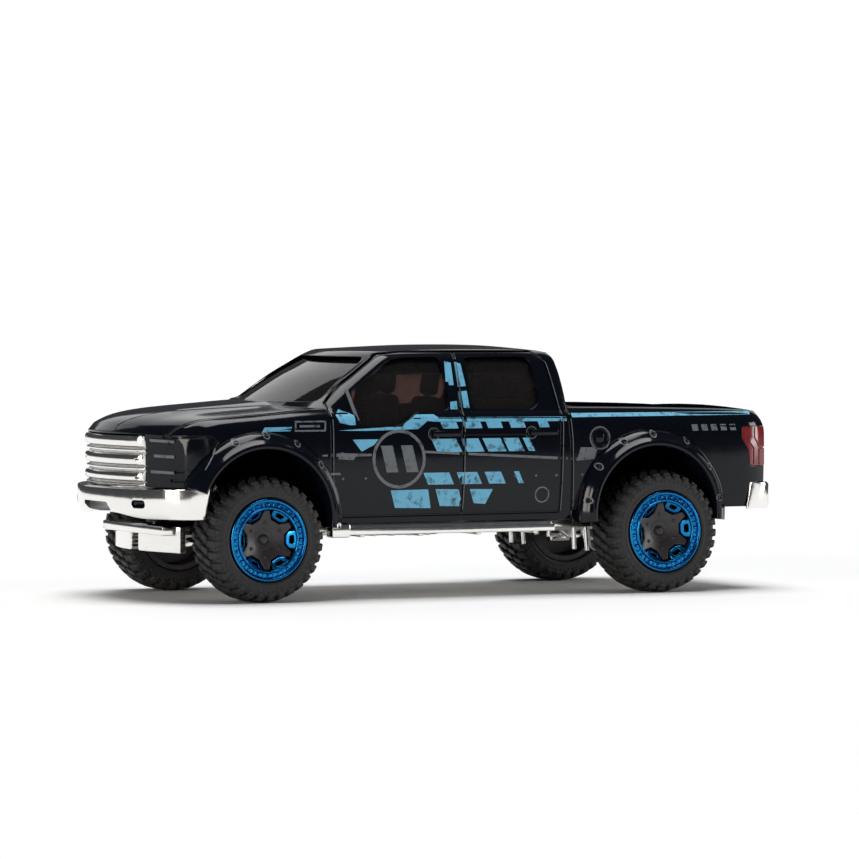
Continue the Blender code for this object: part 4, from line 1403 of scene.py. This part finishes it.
def print_sides(name, outlines, ink_finish, cell, lift):
    """One piece of ink or painted highlight on each side, riding the body. cell is the grid's pitch, lift
    the ink's height.
    """
    for side, hand in HANDS.items():
        skins = [patch(outline, side, cell, lift) for outline in outlines]
        piece(to_object(joined(skins), f"{name}_{hand}", ink_finish), "root", "black_enamel")
    print(f"{name}: {len(outlines)} patches on each side")


def leaning(y0, y1, low, high, lean):
    """A parallelogram whose top is shifted forwards by lean."""
    return [(y0, low), (y1, low), (y1 - lean, high), (y0 - lean, high)]


# %% Blue bands, squares and splashes
TOP_DASHES = ((-2.6, -0.7), (0.1, 2.2), (2.9, 4.7), (5.7, 7.5), (9.2, 10.4))
MIDDLE_DASHES = ((-3.3, -0.3), (0.3, 2.4), (2.9, 5.1), (5.4, 7.3), (7.8, 8.6))
LOW_DASHES = ((-4.4, -1.3), (-0.4, 2.1), (3.0, 5.0), (6.6, 7.2))
BLUE = [
    [(-24.2, 18.25), (-20.8, 18.3), (-20.6, 18.75), (-23.8, 18.72)],
    [
        (-15.2, 19.9), (-14.6, 20.6), (-13.7, 20.2), (-12.9, 19.9), (-12.3, 18.9), (-13.6, 18.85),
        (-14.9, 19.1),
    ],
    [(-15.6, 18.3), (-12.0, 18.22), (-7.5, 18.3), (-7.2, 18.72), (-9.4, 18.6), (-12.2, 18.6), (-15.2, 18.5)],
    [(-7.7, 18.3), (-5.6, 18.35), (-4.4, 19.2), (-4.6, 19.9), (-5.7, 19.85), (-7.2, 18.95)],
    [(-5.0, 19.25), (-3.3, 19.1), (-3.0, 19.55), (-3.5, 19.9), (-5.6, 19.9)],
    [(-3.4, 19.1), (12.9, 19.0), (12.9, 19.5), (-3.2, 19.56)],
    [(13.3, 19.4), (36.0, 19.45), (36.2, 19.72), (36.0, 19.8), (13.3, 19.85)],
    [(-13.45, 17.3), (-10.4, 17.3), (-10.9, 16.7), (-12.4, 16.0)],
    *[leaning(a, b, 18.35, 19.05, 0.25) for a, b in TOP_DASHES],
    *[leaning(a, b, 15.8, 17.25, 0.75) for a, b in MIDDLE_DASHES],
    *[leaning(a, b, 12.3, 13.6, 0.6) for a, b in LOW_DASHES],
    [(-8.3, 9.85), (-4.0, 9.75), (-4.4, 11.8), (-8.9, 11.75)],
    [(-2.9, 9.95), (-0.2, 9.9), (-0.7, 11.75), (-3.5, 11.8)],
    [(1.2, 10.2), (2.6, 10.1), (3.45, 11.7), (0.65, 11.75)],
    # Between the windows, on the pillar.
    [(-1.3, 23.0), (-0.35, 23.0), (-0.15, 25.4), (-0.9, 25.6)],
    [(-1.2, 20.4), (-0.35, 20.4), (-0.3, 21.3), (-1.1, 21.2)],
    [(0.1, 20.6), (1.15, 20.5), (1.1, 22.4), (0.15, 22.3)],
    [(0.2, 22.8), (1.1, 22.9), (1.0, 25.3), (0.3, 25.5)],
]
print_sides("blue_print", BLUE, sky_ink, 0.35, 0.014)


# %% [markdown]
# The grey ink draws a ring with two bars on the door, a long line, rows of dots and blank badges.
# It also paints highlights on the rims of the rivets, the fuel door and the handles, in place of the light
# that these rims catch.

# %% Grey ring, lines, dots, blank badges and painted highlights
DOTS_Y = (-14.6, -11.9, 0.4, 3.4, 6.2, 8.7, 11.2, 14.4)


def dot(y, z, radius):
    turns = [math.tau * k / 8 for k in range(8)]
    return [(y + radius * math.cos(turn), z + radius * math.sin(turn)) for turn in turns]


def ring_patches(y, z, inner, outer, count):
    """A ring as a run of small convex quarters of its band."""
    ends = [math.tau * k / count for k in range(count + 1)]
    corners = [
        ((inner, a0), (outer, a0), (outer, a1), (inner, a1)) for a0, a1 in zip(ends, ends[1:])
    ]
    return [[(y + r * math.cos(a), z + r * math.sin(a)) for r, a in quarter] for quarter in corners]


GREY_PRINT_AND_HIGHLIGHTS = ring_patches(-7.92, 15.14, 2.85, 3.2, 28) + [
    leaning(-9.4, -8.0, 13.7, 16.6, 0.7), leaning(-7.0, -5.6, 13.7, 16.6, 0.7),
    [(-17.1, 15.55), (-15.0, 15.45), (-11.2, 15.5), (-11.2, 15.75), (-15.0, 15.85), (-17.1, 15.7)],
    [(-15.2, 15.2), (-13.4, 15.1), (-13.0, 15.55), (-14.8, 15.95)],
    [(-4.9, 15.75), (13.7, 14.7), (13.7, 15.0), (-4.9, 16.0)],
    [(13.7, 14.65), (15.9, 14.8), (16.3, 16.1), (14.2, 16.1)],
    [(-16.3, 13.5), (-14.9, 13.5), (-14.9, 13.75), (-16.3, 13.75)],
    *[leaning(a, b, 18.25, 19.35, -0.1) for a, b in ((-20.3, -20.1), (-16.8, -16.6))],
    [(-20.2, 19.2), (-16.6, 19.2), (-16.6, 19.38), (-20.2, 19.38)],
    [(-20.3, 18.22), (-16.7, 18.22), (-16.7, 18.4), (-20.3, 18.4)],
    [(-19.7, 18.68), (-17.3, 18.68), (-17.3, 18.92), (-19.7, 18.92)],
    *[leaning(a, a + 0.75, 17.75, 18.45, 0.15) for a in (28.2, 29.4, 30.6, 31.8, 33.0)],
    *[dot(y, 13.1, 0.14) for y in DOTS_Y],
    *ring_patches(9.5, 11.0, 0.75, 0.9, 14),
    # Painted highlights: light rings round the rivets, the fuel door and the handles.
    *[quarter for y, z in RIVETS for quarter in ring_patches(y, z, 0.3, 0.43, 10)],
    *ring_patches(*FUEL_DOOR, 1.12, 1.3, 20),
    *[quarter for low, _, z in HANDLES for quarter in ring_patches(low + 0.2, z, 0.62, 0.72, 12)],
]
# A light line follows each upright shut line: a painted highlight in place of the light that the rounded
# door edge catches.
for line in SIDE_LINES:
    for (y0, z0), (y1, z1) in zip(line, line[1:]):
        if abs(z1 - z0) > abs(y1 - y0):
            GREY_PRINT_AND_HIGHLIGHTS.append(stroke([(y0 + 0.17, z0), (y1 + 0.17, z1)], 0.09))
print_sides("grey_print_and_highlights", GREY_PRINT_AND_HIGHLIGHTS, grey_ink_and_highlights, 0.6, 0.018)


# %% [markdown]
# ## Raised lines
# The headlamps' frames and the tailgate's handle stand a tenth of a millimetre proud. The body drawn
# a little larger, kept only where it meets the lines' outlines, gives them the body's own curve. The
# last cell stands a thin bar in each quarter glass.

# %% Lamp and tailgate relief
RELIEF = 0.11
LAMP_FRAME = [(8.3, 17.35), (12.7, 17.2), (13.1, 16.0), (11.6, 13.9), (8.4, 14.0)]
LAMP_BAR = [(8.8, 15.7), (12.0, 15.6)]
HANDLE = [(-2.0, 16.9), (2.0, 16.9), (2.0, 17.8), (-2.0, 17.8)]
relief = [
    slab_mesh(stroke([(side * x, z) for x, z in line], 0.32), "front", -42, -33.4)
    for side in HANDS for line in (LAMP_FRAME, LAMP_BAR)
]
relief.append(slab_mesh(rounded(HANDLE, 0.3), "front", 33, 42))
for z in (13.6, 15.9):
    relief.append(slab_mesh([(-7.6, z), (7.6, z), (7.6, z + 0.3), (-7.6, z + 0.3)], "front", 33, 42))
raised = body_block("lamp_and_gate_relief", -RELIEF)
carve(raised, [to_object(joined(relief), "relief_lines")], "INTERSECT")
raised.data.materials.append(grey_ink_and_highlights)
for face in raised.data.polygons:
    if face.center.y < ORIGIN.y:
        face.material_index = len(raised.data.materials) - 1
piece(raised, "root", "black_enamel")


# %% Quarter-glass bars
bars = [
    bar_mesh(0.2, (side * 11.5, -13.35, 22.6), (side * 12.85, -12.6, 19.3), 10) for side in HANDS
]
piece(to_object(joined(bars), "quarter_glass_bars", grey_ink_and_highlights), "root", "black_enamel")


# %% [markdown]
# ## Finish
# The body casting takes its place last, because the prints were measured against it.

# %% The body casting
piece(body, "root", "black_enamel", "body_shell")
